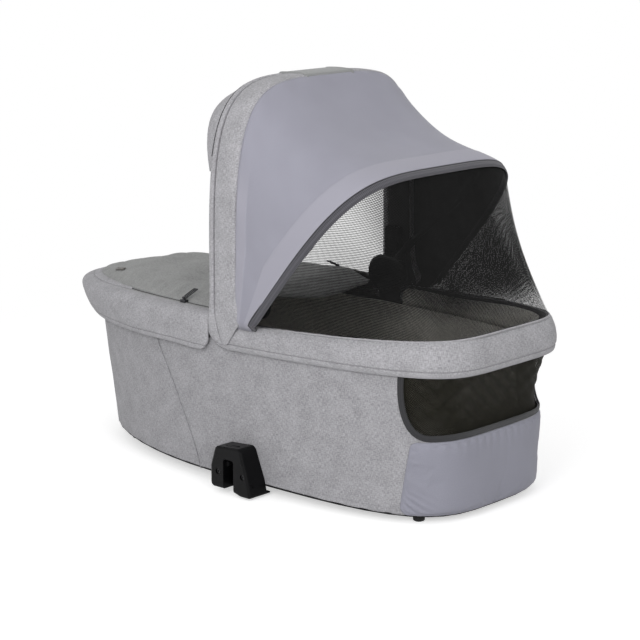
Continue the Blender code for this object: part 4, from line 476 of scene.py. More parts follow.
class Nodes:
    """A small maker of nodes."""

    def __init__(self, tree):
        self.tree = tree

    def feed(self, socket, value):
        """Links a socket, or sets it to a number, a vector or a colour without alpha."""
        if isinstance(value, bpy.types.NodeSocket):
            self.tree.links.new(value, socket)
        else:
            socket.default_value = (*value, 1.0) if socket.type == "RGBA" else value

    def node(self, kind, inputs=None, **settings):
        made = adjust(self.tree.nodes.new(kind), **settings)
        for key, value in (inputs or {}).items():
            self.feed(made.inputs[key], value)
        return made

    def get(self, kind, inputs=None, output=0, **settings):
        return self.node(kind, inputs, **settings).outputs[output]

    def math(self, operation, *values, clamp=False):
        return self.get("ShaderNodeMath", dict(enumerate(values)), operation=operation, use_clamp=clamp)

    def plus(self, a, b):
        return self.math("ADD", a, b)

    def times(self, a, b):
        return self.math("MULTIPLY", a, b)

    def coords(self, scale=1, kind="UV", turn=0.0):
        scale = scale if isinstance(scale, tuple) else (scale,) * 3
        source = self.get("ShaderNodeTexCoord", output=kind)
        return self.get("ShaderNodeMapping", {"Vector": source, "Scale": scale, "Rotation": (0.0, 0.0, turn)})

    def noise(self, vector, scale=1.0, detail=2.0, rough=0.5):
        inputs = {"Vector": vector, "Scale": scale, "Detail": detail, "Roughness": rough}
        return self.get("ShaderNodeTexNoise", inputs, "Fac")

    def ramp(self, value, colour, *stops):
        """Shares of a colour at places along a value."""
        made = self.node("ShaderNodeValToRGB", {"Fac": value})
        parts = made.color_ramp.elements
        while len(parts) < len(stops):
            parts.new(0.5)
        for part, (place, share) in zip(parts, stops):
            part.position = place
            part.color = (*scaled(colour, share), 1.0)
        return made.outputs["Color"]

    def between(self, value, low, high, start=0.3, end=0.7, **settings):
        ends = {"Value": value, "From Min": start, "From Max": end, "To Min": low, "To Max": high}
        return self.get("ShaderNodeMapRange", ends, **settings)

    def attribute(self, key):
        return self.get("ShaderNodeAttribute", output="Fac", attribute_name=key)

    def blend(self, share, a, b):
        return self.get("ShaderNodeMix", {0: share, 6: a, 7: b}, 2, data_type="RGBA")

    def waves(self, scale, turn=0.0):
        """Sines across and along the cloth."""
        parts = self.node("ShaderNodeSeparateXYZ", {"Vector": self.coords(scale, turn=turn)}).outputs
        return self.math("SINE", parts[0]), self.math("SINE", parts[1])

    def seam(self, tone, height, colour, half, share, shade):
        """Sinks the cloth along its marked seam and darkens it there; the darkening is painted shade in the
        seam's groove.
        """
        away = self.math("DIVIDE", self.math("ABSOLUTE", self.attribute("seam")), half)
        dark = self.math("SUBTRACT", 1.0, self.math("POWER", away, 2.0), clamp=True)
        tone = self.blend(self.times(dark, share), tone, scaled(colour, shade))
        return tone, self.math("SUBTRACT", height, self.times(dark, 5.0))

    def bump(self, height, strength, distance):
        return self.get("ShaderNodeBump", {"Height": height, "Strength": strength, "Distance": distance})

    def seen(self):
        """1 where the camera sees the surface, also in a reflection or through a pane."""
        rays = self.node("ShaderNodeLightPath").outputs
        straight = self.math("MAXIMUM", rays["Is Camera Ray"], rays["Is Glossy Ray"])
        return self.math("MAXIMUM", straight, rays["Is Transmission Ray"])


class Look(Nodes):
    """A node material in the making."""

    def __init__(self, name):
        self.material = bpy.data.materials.new(name)
        self.material.use_nodes = True
        super().__init__(self.material.node_tree)
        self.shader = self.tree.nodes["Principled BSDF"]

    def set(self, **values):
        for key, value in values.items():
            self.feed(self.shader.inputs[key.replace("_", " ")], value)
        return self.material


def melange(name, colour, contrast=1.0, seam=True):
    """Heather cloth: short threads of two greys, woven, with a slight mottle."""
    look = Look(name)
    across = look.noise(look.coords((190, 900, 900)), detail=1.0)
    along = look.noise(look.coords((900, 190, 190)), detail=1.0)
    fine = look.times(look.plus(across, along), 0.5)
    mottle = look.noise(look.coords(34), detail=3.0)
    mixed = look.plus(look.times(fine, 0.8), look.times(mottle, 0.2))
    reach = 0.12 * contrast
    dark, pale = (0.5 - reach, 1 - 0.30 * contrast), (0.5 + reach, 1 + 0.32 * contrast)
    tone = look.ramp(mixed, colour, dark, (0.5, 1), pale)
    height = look.plus(look.times(*look.waves(tau / 0.0016)), look.times(fine, 2.5))
    # Along a marked seam the cloth is sunk and painted darker: painted shade in the groove.
    if seam:
        tone, height = look.seam(tone, height, colour, 0.0013, 0.42, 0.22)
    normal = look.bump(height, 0.35, 0.0004)
    return look.set(Base_Color=tone, Roughness=0.93, Normal=normal, Sheen_Weight=0.12, Sheen_Roughness=0.5)


def smooth_cloth(name, colour, pitch=0.0009, facing=None, sheen=0.15, seam=False):
    """Plain fine cloth; a marked facing, where two layers lie together, is paler."""
    look = Look(name)
    fine = look.noise(look.coords(700), detail=1.0)
    broad = look.noise(look.coords(14), detail=2.0)
    mixed = look.plus(look.times(fine, 0.55), look.times(broad, 0.45))
    tone = look.ramp(mixed, colour, (0.3, 0.93), (0.7, 1.07))
    height = look.times(*look.waves(tau / pitch))
    if facing is not None:
        tone = look.blend(look.attribute("facing"), tone, facing)
    # Along a marked seam the cloth is sunk and painted darker: painted shade in the groove.
    if seam:
        tone, height = look.seam(tone, height, colour, 0.0010, 0.6, 0.3)
    normal = look.bump(height, 0.2, 0.00025)
    return look.set(Base_Color=tone, Roughness=0.78, Normal=normal, Sheen_Weight=sheen, Sheen_Roughness=0.45)


def net(name, colour, pitch, thread, close_thread=None):
    """Open net: black threads with clear holes between them, and a marked hem without holes."""
    look = Look(name)
    holes = look.times(*look.waves(tau / pitch, pi / 4))
    if close_thread:
        thread = look.math("MULTIPLY_ADD", look.attribute("close"), close_thread - thread, thread)
    solid = look.math("LESS_THAN", look.math("ABSOLUTE", holes), thread)
    solid = look.math("MAXIMUM", solid, look.math("GREATER_THAN", look.attribute("hem"), 0.5))
    tone = look.ramp(look.noise(look.coords(60)), colour, (0.3, 0.8), (0.7, 1.2))
    normal = look.bump(holes, 0.3, 0.0003)
    look.material.surface_render_method = "DITHERED"
    return look.set(Base_Color=tone, Roughness=0.7, Normal=normal, Alpha=solid, Specular_IOR_Level=0.12)


def plastic(name, colour, rough, grain=0.15, pitch=900.0, gloss=0.4):
    """Moulded plastic with a fine eroded grain and a broad, uneven tone."""
    look = Look(name)
    at = look.coords(kind="Object")
    broad = look.noise(at, 45.0, 2.0)
    tone = look.ramp(broad, colour, (0.3, 0.85), (0.7, 1.2))
    uneven = look.between(broad, rough * 0.85, min(rough * 1.2, 1.0))
    normal = look.bump(look.noise(at, pitch, 3.0, 0.6), grain, 0.0003)
    return look.set(Base_Color=tone, Roughness=uneven, Normal=normal, Specular_IOR_Level=gloss)


def metal(name, colour, rough):
    """Drawn metal with fine streaks."""
    look = Look(name)
    streaks = look.noise(look.coords((600, 40, 600), "Object"), 1.0, 2.0)
    tone = look.ramp(look.noise(look.coords(kind="Object"), 30.0), colour, (0.3, 0.9), (0.7, 1.05))
    gloss = look.between(streaks, rough * 0.7, rough * 1.3)
    return look.set(Base_Color=tone, Roughness=gloss, Metallic=1.0, Normal=look.bump(streaks, 0.1, 0.0002))


def ribbed(name, colour, pitch):
    """Woven binding tape with ribs across it; its tone follows the ribs' height, painted shade in the grooves
    and painted light on the ridges.
    """
    look = Look(name)
    across, along = look.waves((tau / pitch, tau / (pitch * 2.2), 1.0))
    height = look.plus(across, look.times(along, 0.4))
    # Painted shade in the rib grooves and painted light on the ridges.
    tone = look.ramp(look.math("MULTIPLY_ADD", height, 0.35, 0.5), colour, (0.1, 0.45), (0.9, 1.5))
    return look.set(Base_Color=tone, Roughness=0.8, Normal=look.bump(height, 0.5, 0.0004), Sheen_Weight=0.2)


def leather(name, colour):
    """Leatherette: small cells pressed into a slightly glossy skin; the pressed lines between cells are
    painted darker, painted shade in the grooves.
    """
    look = Look(name)
    inputs = {"Vector": look.coords(kind="Object"), "Scale": 620.0}
    cells = look.get("ShaderNodeTexVoronoi", inputs, "Distance", feature="DISTANCE_TO_EDGE")
    pressed = look.math("POWER", look.math("MULTIPLY", cells, 3.0, clamp=True), 0.5)
    # Painted shade in the pressed lines between the cells.
    tone = look.ramp(pressed, colour, (0.1, 0.72), (0.6, 1))
    normal = look.bump(pressed, 0.35, 0.0004)
    return look.set(Base_Color=tone, Roughness=0.5, Normal=normal, Sheen_Weight=0.05)


GREY = (0.385, 0.38, 0.40)
LILAC = (0.330, 0.327, 0.387)
melange_look = melange("melange_cloth", GREY)
# Two copies of the same melange: the wall's is painted darker, painted shade, and the hood's paler, painted
# light.
shaded_wall_look = melange("wall_melange_shaded", scaled(GREY, 0.94))
lit_hood_look = melange("hood_melange_lit", scaled(GREY, 1.04))
apron_look = melange("apron_cloth", (0.315, 0.318, 0.315), 0.5)
lilac_look = smooth_cloth("lilac_cloth", LILAC, facing=(0.374, 0.367, 0.428))
# The flap's lilac is a darker copy of the canopy's lilac: painted shade on the head end.
shaded_flap_look = smooth_cloth("flap_cloth_shaded", (0.285, 0.285, 0.338), seam=True)
dark_look = smooth_cloth("dark_lining_cloth", (0.016, 0.016, 0.017), sheen=0.0)
hem_look = smooth_cloth("net_hem_cloth", (0.014, 0.012, 0.013), sheen=0.0)
# The lining's pale beige is its own colour, lifted further to stand in for the light that the dim inside
# lacks: partly painted light.
lining_look = melange("lining_jersey", (0.80, 0.77, 0.71), 0.6, seam=False)
mattress_look = smooth_cloth("mattress_cloth", (0.42, 0.41, 0.385), 0.0022)
net_look = net("hood_net", (0.006, 0.006, 0.006), 0.0042, 0.17, 0.56)
window_net_look = net("window_net", (0.014, 0.013, 0.009), 0.0036, 0.66)
binding_look = ribbed("binding_tape", (0.020, 0.020, 0.023), 0.0016)
tape_look = ribbed("hood_tape_weave", (0.075, 0.073, 0.086), 0.0026)
piping_look = smooth_cloth("dark_piping", (0.030, 0.030, 0.034))
tag_look = smooth_cloth("tag_tape", (0.15, 0.14, 0.13))
thread_look = smooth_cloth("sewing_thread", (0.30, 0.295, 0.31))
leather_look = leather("grip_leatherette", (0.28, 0.285, 0.285))
black_plastic_look = plastic("black_plastic", (0.004, 0.004, 0.0045), 0.30, 0.12, gloss=0.11)
matt_plastic_look = plastic("matt_plastic", (0.006, 0.006, 0.0065), 0.60, 0.3, gloss=0.12)
painted_look = plastic("painted_tube", (0.012, 0.012, 0.013), 0.45, 0.1, gloss=0.3)
rubber_look = plastic("foot_rubber", (0.012, 0.012, 0.012), 0.85, 0.3, 400.0)
aluminium_look = metal("frame_aluminium", (0.75, 0.75, 0.77), 0.32)
steel_look = metal("steel", (0.62, 0.62, 0.64), 0.28)
dark_steel_look = metal("blackened_steel", (0.05, 0.05, 0.052), 0.35)
zip_look = metal("zip_metal", (0.07, 0.07, 0.075), 0.45)
board_look = plastic("pressed_board", (0.24, 0.21, 0.17), 0.9, 0.4, 300.0)

replaced = set()


def dress(obj, body, *nodes, slot=None):
    """Lets a piece ride on a body and stand for CAD nodes."""
    if body:
        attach(obj, body)
    if nodes:
        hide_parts(*nodes)
        replaced.update(nodes)


def sew(name, place, out, lift, look=thread_look, slot=MELANGE):
    """Stitches on the tub's cloth; place gives their line at a height over the cloth."""
    line = place(out)
    dress(stitches(name, line, line - place(-0.01), look, lift=lift), "tub", slot=slot)


def sink_stitches(profile, z, width, depth):
    """Draws a profile's outer face in along the line where it is stitched."""
    profile[:, 0] -= depth * bell(profile[:, 1] - z, width) * (profile[:, 0] > -0.004)


def from_stitches(profile, z):
    """Distance of a profile's points from its stitched line, far more off the outer face."""
    return (profile[:, 1] - z) + (profile[:, 0] < -0.004)


# Tub wall

around = np.arange(WALL_STEPS) / WALL_STEPS
window_edge = float(top_plan.along_of(share_where(WINDOW_SIDE_X, top_plan.at))) - WINDOW_NARROWER
window_tall = WALL_TOP - WINDOW_BOTTOM
WALL_SEAM = [(-0.1215, 0.2165), (-0.1135, 0.1968), (-0.0963, 0.1667), (-0.0814, 0.1363), (-0.0629, 0.0966)]
WALL_SEAM += [(-0.0446, 0.0552), (-0.0345, 0.0222), (-0.0325, 0.0150)]
WALL_CREASE = [(0.115, 0.098), (0.165, 0.075), (0.215, 0.061)]


def window_lift(from_end):
    f = np.clip(from_end / WINDOW_CORNER, 0, 1)
    return window_tall * (1 - (1 - (1 - f) ** WINDOW_POWER) ** (1 / WINDOW_POWER))


def beside_window(share, z, top=1.0):
    """Which cells of a sheet round the tub the window leaves, from its lower edge up to a height."""
    along = top_plan.along_of(share)
    along = np.abs(np.where(along > top_plan.girth / 2, along - top_plan.girth, along))
    inside = (along < window_edge) & (z > WINDOW_BOTTOM + window_lift(window_edge - along)) & (z < top)
    cells = inside & np.roll(inside, -1, 1)
    return ~(cells[:-1] & cells[1:])


def line_distance(points, line):
    """Distance in X and Z from points to a drawn line."""
    x, z = points[..., 0], points[..., 2]
    best = np.full(x.shape, 1.0)
    line = catmull(line, 8)
    for (ax, az), (bx, bz) in zip(line, line[1:]):
        dx, dz = bx - ax, bz - az
        t = np.clip(((x - ax) * dx + (z - az) * dz) / (dx * dx + dz * dz), 0, 1)
        best = np.minimum(best, np.hypot(x - ax - dx * t, z - az - dz * t))
    return best


def make_wall():
    """The cover round the tub, its hem's stitches and the cords of its two seams."""
    t = np.concatenate([[0.0, 0.010, 0.022, 0.034, 0.046], np.linspace(0.06, 1.0, 66)])[:, None]
    low = base_z(around) + TRAY_LIP * 0.45
    z = mix(low, WALL_TOP, t)
    flat = wall(around, z)
    seam = line_distance(flat, WALL_SEAM)
    soft = swell(flat, 0.16, 3, 0.0009) + swell(flat, 0.07, 5, 0.00035) - 0.0007 * bell(seam, 0.004)
    soft += 0.0011 * bell(line_distance(flat, WALL_CREASE), 0.007) * (flat[..., 1] < 0)
    out = soft * smooth((z - low) / 0.03) * smooth((WALL_TOP + 0.004 - z) / 0.02)
    out = out - 0.0005 * bell(z - low - HEM_HEIGHT, 0.0016) - 0.0008 * bell(z - low, 0.0015)
    u = np.append(top_plan.along_of(around), top_plan.girth)
    v = np.concatenate([z, z[:, :1]], 1)
    shown = beside_window(around, z)
    obj = grid("wall_cloth", wall(around, z, out), [shaded_wall_look, dark_look], True, shown, {"seam": seam}, u, v)
    thicken(obj, WALL_THICK)
    dress(obj, "tub", "tub_cover", slot=MELANGE)
    hem_z = base_z(around) + TRAY_LIP + HEM_HEIGHT
    sew("wall_hem_stitches", lambda out: wall(around, hem_z, out), 0.0, -0.0003)
    line = catmull(WALL_SEAM, 10)
    shares = np.array([share_where(x, wall, z) for x, z in line])
    for name, at in (("near", 1 - shares), ("far", shares)):
        cord = tube("wall_seam_" + name, wall(at, line[:, 1], 0.0001), 0.0006, shaded_wall_look, 6)
        dress(cord, "tub", slot=MELANGE)


def on_head(along, z, out):
    return wall(top_plan.share_of(along), z, out)


def window_outline():
    """The window's edge as (along, height), from one side's top round below to the other's."""
    turn = np.linspace(0.0, pi / 2, 40)
    x = 1 - np.cos(turn) ** (2 / WINDOW_POWER)
    y = 1 - np.sin(turn) ** (2 / WINDOW_POWER)
    left = np.stack([-window_edge + x * WINDOW_CORNER, WINDOW_BOTTOM + y * window_tall], 1)
    left = left[left[:, 1] < RIM_LOW + 0.01]
    middle_x = np.linspace(left[-1, 0], -left[-1, 0], 60)[1:-1]
    middle = np.stack([middle_x, np.full(len(middle_x), WINDOW_BOTTOM)], 1)
    path = np.concatenate([left, middle, left[::-1] * [-1, 1]])
    walked = walk(path)
    return at_lengths(path, walked, np.linspace(0, walked[-1], 220))


def make_window():
    """The ventilation net, the binding round it and its stitches."""
    along = np.linspace(-1, 1, 150) * (window_edge + NET_LAP)
    low = WINDOW_BOTTOM - NET_LAP + window_lift(window_edge + NET_LAP - np.abs(along))
    z = mix(np.minimum(low, WALL_TOP - 0.004), WALL_TOP - 0.001, np.linspace(0, 1, 46)[:, None])
    along = np.broadcast_to(along, z.shape)
    from_side = np.clip(window_edge - np.abs(along), 0, 1)
    inwards = np.minimum(from_side, np.clip(z - low, 0, 1))
    deep = mix(0.10, 1.0, smooth(np.clip(WALL_TOP - z, 0, 1) / 0.085))
    ripple = 0.0006 * np.sin((along * 0.75 + z) / 0.021 * tau)
    ripple += 0.0005 * np.sin((along * 0.5 - z) / 0.034 * tau)
    sag = 0.0085 * (1 - np.exp(-inwards / 0.014)) * deep + ripple * smooth(inwards / 0.05)
    hem = (inwards < 0.003) | (from_side < np.where(along > 0, 0.034, 0.0105))
    p = on_head(along, z, -0.0030 - sag)
    obj = grid("window_net_cloth", p, [window_net_look], marks={"hem": hem}, u=along, v=z)
    thicken(obj, NET_THICK, 0.0)
    dress(obj, "tub", "window_mesh", slot="black_net")

    path = window_outline()
    ahead = unit(np.gradient(path, axis=0))
    normal = np.stack([ahead[:, 1], -ahead[:, 0]], 1)

    def beside(width, out):
        """The window's edge, moved sideways and outwards."""
        q = path + normal * width
        return on_head(q[:, 0], q[:, 1], out)

    turn = np.linspace(0, pi, 13)
    width = np.cos(turn) * BINDING_WIDTH / 2
    stitch_at = 0.0026
    proud = 0.0004 + 0.0019 * np.sin(turn) ** 0.5 - 0.0006 * bell(width - stitch_at, 0.0005)
    section = [*zip(width, proud), (-BINDING_WIDTH / 2, 0.0), (BINDING_WIDTH / 2, 0.0)]
    trim = loft("window_trim", np.stack([beside(w, o) for w, o in section], 1), [binding_look])
    dress(trim, "tub", "window_binding", slot=BINDING)
    sew("window_stitches", lambda out: beside(stitch_at, out), 0.0016, 0.0001, piping_look, BINDING)


def make_flap():
    """The window's cover, folded down and puffed, with creases in its lower corners."""
    edge = float(top_plan.along_of(share_where(FLAP_SIDE_X, top_plan.at)))
    u = np.linspace(-1, 1, 170)[None, :]
    u = np.sign(u) * (1 - (1 - np.abs(u)) ** 1.4)
    v = 0.5 - 0.5 * np.cos(pi * np.linspace(0, 1, 60)[:, None])
    half = edge + mix(0.003, -0.009, v)
    along = u * half
    side = half - np.abs(along)
    corner_drop = 0.014 * round_off(side / 0.014)
    low = base_z(top_plan.share_of(along)) + FLAP_RISE + corner_drop
    high = WINDOW_BOTTOM - BINDING_WIDTH / 2 - 0.0006 - corner_drop * 0.6
    z = mix(low, high, v)
    rise, fall = z - low, high - z
    near = np.minimum(np.minimum(side, rise), fall)
    puff = 1 - round_off(near / 0.011)
    dents = swell(on_head(along, z, 0.0), 0.10, 11, 0.0006)
    pull = 0.0011 * np.sin(along / 0.018 * tau) * np.exp(-fall / 0.012) * smooth(near / 0.006)
    corner = bell(0.02 - side, 0.022) * bell(rise - 0.016, 0.012)
    crease = 0.0018 * corner * np.sin((rise + side * 0.5) / 0.011 * tau)
    out = 0.0004 + FLAP_THICK * 0.75 * puff + (dents + crease) * smooth(near / 0.012) + pull
    obj = grid("flap_pad", on_head(along, z, out), [shaded_flap_look], u=along, v=z)
    fill_cloth(obj, near < 0.0030, 0.03, 0.0032)
    thicken(obj, FLAP_SKIN)
    dress(obj, "tub", "window_flap", slot="lilac_fabric")


make_wall()
make_window()
make_flap()

# Rim band: places outwards of the rim's line, the outer ones with heights over its lower edge

RIM_PROFILE = [(-0.0077, 0.0004), (-0.0050, -0.0002), (-0.0020, 0.0006), (0.0000, 0.0055), (0.0006, 0.0130)]
RIM_PROFILE += [(0.0007, 0.0210), (-0.0006, 0.0290), (-0.0036, 0.0350), (-0.0078, 0.0396), (-0.0120, 0.0412)]
RIM_PROFILE += [(-0.0180, 0.0410), (-0.0260, 0.0395), (-0.0340, 0.0370), (-0.0388, 0.0320), (-0.0400, 0.0240)]
RIM_INSIDE = [(-0.0400, WALL_TOP + 0.0012), (-0.0282, WALL_TOP + 0.0012), (-0.0282, RIM_TUBE_TOP + 0.0006)]
RIM_INSIDE += [(-0.0121, RIM_TUBE_TOP + 0.0006), (-0.0077, WALL_TOP + 0.0006)]
RIM_START_X = SKIRT_END_X + 0.0009
RIM_START_ROUND, RIM_ROUND_TALL = 0.046, 0.036


def make_rim():
    """The padded band round the head end and along both sides, cut out round the hubs."""
    outer = catmull(np.array(RIM_PROFILE) + [0, RIM_LOW], 5)
    sink_stitches(outer, RIM_STITCH_Z, 0.0013, 0.0008)
    profile = np.concatenate([outer, RIM_INSIDE])
    t = np.linspace(0, 1, 420)
    t = 0.5 - 0.5 * np.sign(1 - 2 * t) * np.abs(1 - 2 * t) ** 0.92
    loops = []
    for out, z in profile:
        back = RIM_START_ROUND * round_off((z - RIM_LOW) / RIM_ROUND_TALL) if out > -0.009 else 0.0
        end = share_where(RIM_START_X + back, rim_point)
        share = mix(-end, end, t)
        puffed = -0.03 < out and z > RIM_LOW + 0.012
        puff = swell(rim_point(share, out, z), 0.13, 21, 0.0007) if puffed else 0.0
        loops.append(rim_point(share, out + puff, z + (puff if out < -0.006 else 0.0)))
    shown = np.select([profile[:, 0] < -0.0255, profile[:, 0] < -0.0150], [2, 1], 0)
    shown[len(outer) :] = 2
    looks = [melange_look, hem_look, lining_look]
    obj = loft("rim_pad", np.stack(loops, 1), looks, {"seam": from_stitches(profile, RIM_STITCH_Z)}, shown)
    low = Vector((-0.01, -0.2062, RIM_LOW - 0.01))
    carve(obj, hub_cutter(), box_cutter(low, Vector((PIVOT_X + SCOOP + 0.0058, 0.2062, PIVOT_Z))))
    dress(obj, "tub", "rim_band", slot=MELANGE)
    end = share_where(0.062, rim_point)
    share = np.linspace(-end, end, 900)
    sew("rim_stitches", lambda out: rim_point(share, out, RIM_STITCH_Z), -0.0001, -0.0002)


make_rim()

# Apron

CORNER_LOOK = SKIRT_CORNER + 0.0090
SKIRT_LOW = [(-0.0030, 0.0002), (-0.0008, 0.0008), (0.0004, 0.0040), (0.0006, 0.0150), (0.0008, 0.0300)]
SKIRT_HIGH = [(0.0003, -0.0060), (-0.0016, 0.0012), (-0.0058, 0.0062), (-0.0125, 0.0094), (-0.0200, 0.0104)]
SKIRT_PROFILE = [(out, SKIRT_BOTTOM + up) for out, up in SKIRT_LOW]
SKIRT_PROFILE += [(out, SKIRT_SHOULDER + up) for out, up in SKIRT_HIGH]
SKIRT_PROFILE += [(-EDGE_INSET, EDGE_Z + 0.0001)]
ZIP_OUTER, ZIP_MIDDLE = EDGE_INSET + CLEAR, ZIP_WIDTH / 2
ZIP_SECTION = [(0.0, 0.0), (0.0012, 0.0005), (ZIP_MIDDLE, 0.0011), (0.0038, 0.0005), (ZIP_WIDTH, 0.0)]
ZIP_SECTION += [(ZIP_WIDTH, -0.0014), (0.0, -0.0014)]
GUARD_START_X = -0.2150
GUARD = [(-0.0060, 0.0000), (-0.0045, 0.0010), (-0.0020, 0.0024), (0.0010, 0.0032), (0.0050, 0.0036)]
GUARD += [(0.0080, 0.0032), (0.0100, 0.0016), (0.0100, 0.0006), (0.0078, 0.0020), (0.0030, 0.0024)]
GUARD += [(0.0000, 0.0019), (-0.0030, 0.0003)]


def skirt_span(z):
    """The share where the skirt starts at a height; its lower corners are rounded."""
    back = CORNER_LOOK * round_off((z - SKIRT_BOTTOM) / CORNER_LOOK)
    return share_where(SKIRT_END_X - back, skirt_point, 0.0, z)


def make_skirt():
    """The part of the apron that hangs over the rim, from the zip down, with its stitches."""
    profile = catmull(SKIRT_PROFILE, 5)
    sink_stitches(profile, SKIRT_STITCH_Z, 0.0014, 0.0007)
    t = np.linspace(0, 1, 420)
    p = []
    for out, z in profile:
        start = skirt_span(z)
        share = mix(start, 1 - start, t)
        flat = skirt_point(share, out, z)
        up = (z - SKIRT_BOTTOM) / (EDGE_Z - SKIRT_BOTTOM)
        wave = swell(flat, 0.11, 31, 0.0011) * min(up * 5, 1) * min((1 - up) * 5, 1)
        dip = swell(flat * [1, 1, 0], 0.16, 33, 0.0012) * max(0, 1 - up * 2.5)
        p.append(skirt_point(share, out + wave, z + dip * smooth(np.minimum(t, 1 - t) / 0.04)))
    seam = from_stitches(profile, SKIRT_STITCH_Z)[:, None]
    obj = grid("skirt_cloth", np.array(p), [melange_look, dark_look], marks={"seam": seam})
    thicken(obj, SKIRT_THICK)
    carve(obj, hub_cutter())
    dress(obj, "tub", "apron_skirt", slot=MELANGE)
    start = skirt_span(SKIRT_STITCH_Z) + 0.004
    share = np.linspace(start, 1 - start, 900)
    sew("skirt_stitches", lambda out: skirt_point(share, out, SKIRT_STITCH_Z), 0.0, -0.0002)


def apron_edge(share):
    return skirt_point(share, -(EDGE_INSET + ZIP_WIDTH + CLEAR * 2), EDGE_Z)


def make_apron():
    """The apron's top: a sheet between its mouth and the zip, crowned, folded and creased."""
    rows, cols = 130, 100
    corner = 18 / 48
    side = share_where(APRON_SIDE_X, apron_edge)
    u = np.linspace(0, 1, cols)
    v = np.linspace(0, 1, rows)[:, None]
    far = apron_edge(mix(side, corner, v[:, 0]))
    near = far * [1, -1, 1]
    foot = apron_edge(mix(1 - corner, corner, u))
    y = mix(near[0, 1], far[0, 1], u)
    s = np.clip(np.abs(y) / MOUTH_HALF, 0, 1) ** MOUTH_POWER
    mouth = np.stack([mix(APRON_MOUTH_X, APRON_SIDE_X, smooth(s)), y, np.full(cols, EDGE_Z)], 1)
    U, V = u[None, :, None], v[..., None]
    p = mix(mouth[None], foot[None], V) + mix(near[:, None], far[:, None], U)
    p = p - mix(mix(mouth[0], mouth[-1], U), mix(foot[0], foot[-1], U), V)
    x, y = p[..., 0], p[..., 1]
    zipped = 4 * u * (1 - u)
    from_foot = 1 - v
    from_side = np.minimum(u, 1 - u)
    dome = zipped**0.6 * np.minimum(1.0, from_foot * 3.2) ** 0.6
    wave, lean = x / 0.11 * tau, y / 0.11
    fold = np.sin(wave + lean * 1.7) + 0.6 * np.sin(wave * 0.6 - lean * 3.1)
    crown = APRON_CROWN * mix(0.88, 0.72, smooth((from_foot - 0.40) / 0.35))
    p[..., 2] += crown * dome + 0.0025 * fold * zipped * dome
    inner = np.minimum(zipped * 2.2, 1) * np.minimum(from_foot * 6, 1) * np.minimum(v * 12 + 0.35, 1)
    slant = (x * 0.85 + y * 0.5) / 0.085 * pi
    creases = 0.0018 * np.abs(np.sin(slant + 0.9 * np.sin(y / 0.10))) ** 0.7
    creases += 0.0012 * np.sin((x * 0.4 - y) / 0.055 * tau + 1.3 * np.sin(x / 0.07))
    creases += swell(p, 0.045, 41, 0.0008)
    p[..., 2] += creases * inner
    p[..., 2] -= 0.004 * smooth(1 - v / 0.035) ** 2 * zipped
    from_zip = np.minimum(from_side * 0.36, from_foot * 0.30)
    p[..., 2] += 0.0022 * bell(from_zip - 0.007, 0.004)
    obj = grid("apron_cloth", p, [apron_look, dark_look], marks={"seam": (v - 0.045) * 0.4})
    face_out(obj, [0.0, 0.0, -1.0])
    fill_cloth(obj, (from_side < 0.02) | (v > 0.985), 0.02, 0.0045)
    thicken(obj, APRON_THICK)
    dress(obj, "tub", "apron_top", slot="apron_fabric")


def make_zip():
    """The zip's tape and teeth, and the fold of the skirt that covers them round the foot end."""
    start = skirt_span(EDGE_Z) + 0.002
    share = np.linspace(start, 1 - start, 1100)
    loops = np.stack([skirt_point(share, -ZIP_OUTER - a, EDGE_Z + b) for a, b in ZIP_SECTION], 1)
    dress(loft("zip_tape", loops, [apron_look]), "tub", "zip_track", slot=BINDING)
    middle = loops[:, 2]
    up = np.tile([0.0, 0.0, 1.0], (len(middle), 1))
    dress(stitches("zip_teeth", middle, up, zip_look, 0.0022, 0.0013, 0.0009, 0.0), "tub", slot="zip_metal")

    start = share_where(GUARD_START_X, skirt_point, -ZIP_OUTER, EDGE_Z)
    share = np.linspace(start, 1 - start, 500)
    narrow = mix(0.2, 1.0, smooth(np.minimum(share - start, 1 - start - share) / 0.035))
    loops = [skirt_point(share, -ZIP_OUTER - mix(ZIP_MIDDLE, a, narrow), EDGE_Z + b) for a, b in GUARD]
    loops = np.stack(loops, 1)
    loops[..., 2] += swell(loops, 0.07, 45, 0.0004) * (np.array(GUARD)[:, 1] > 0.0020)
    dress(loft("zip_guard", loops, [melange_look]), "tub", slot=MELANGE)


make_skirt()
make_apron()
make_zip()

# Inside

BOARD_FACE = BOARD_TOP + 0.0003


def make_lining():
    t = np.linspace(0, 1, 40)[:, None]
    z = mix(BOARD_FACE, WALL_TOP, t)
    share = around[::2]
    soft = swell(wall(share, z, -LINING_INSET), 0.12, 51, 0.0008) * np.sin(pi * t) ** 0.5
    p = wall(share, z, -LINING_INSET - 0.0006 + soft)
    shown = beside_window(share, z, WALL_TOP - LINING_THICK * 4)
    obj = grid("lining_cloth", p, [lining_look], True, shown)
    thicken(obj, LINING_THICK * 0.8)
    dress(obj, "tub", "lining", slot="lining_fabric")


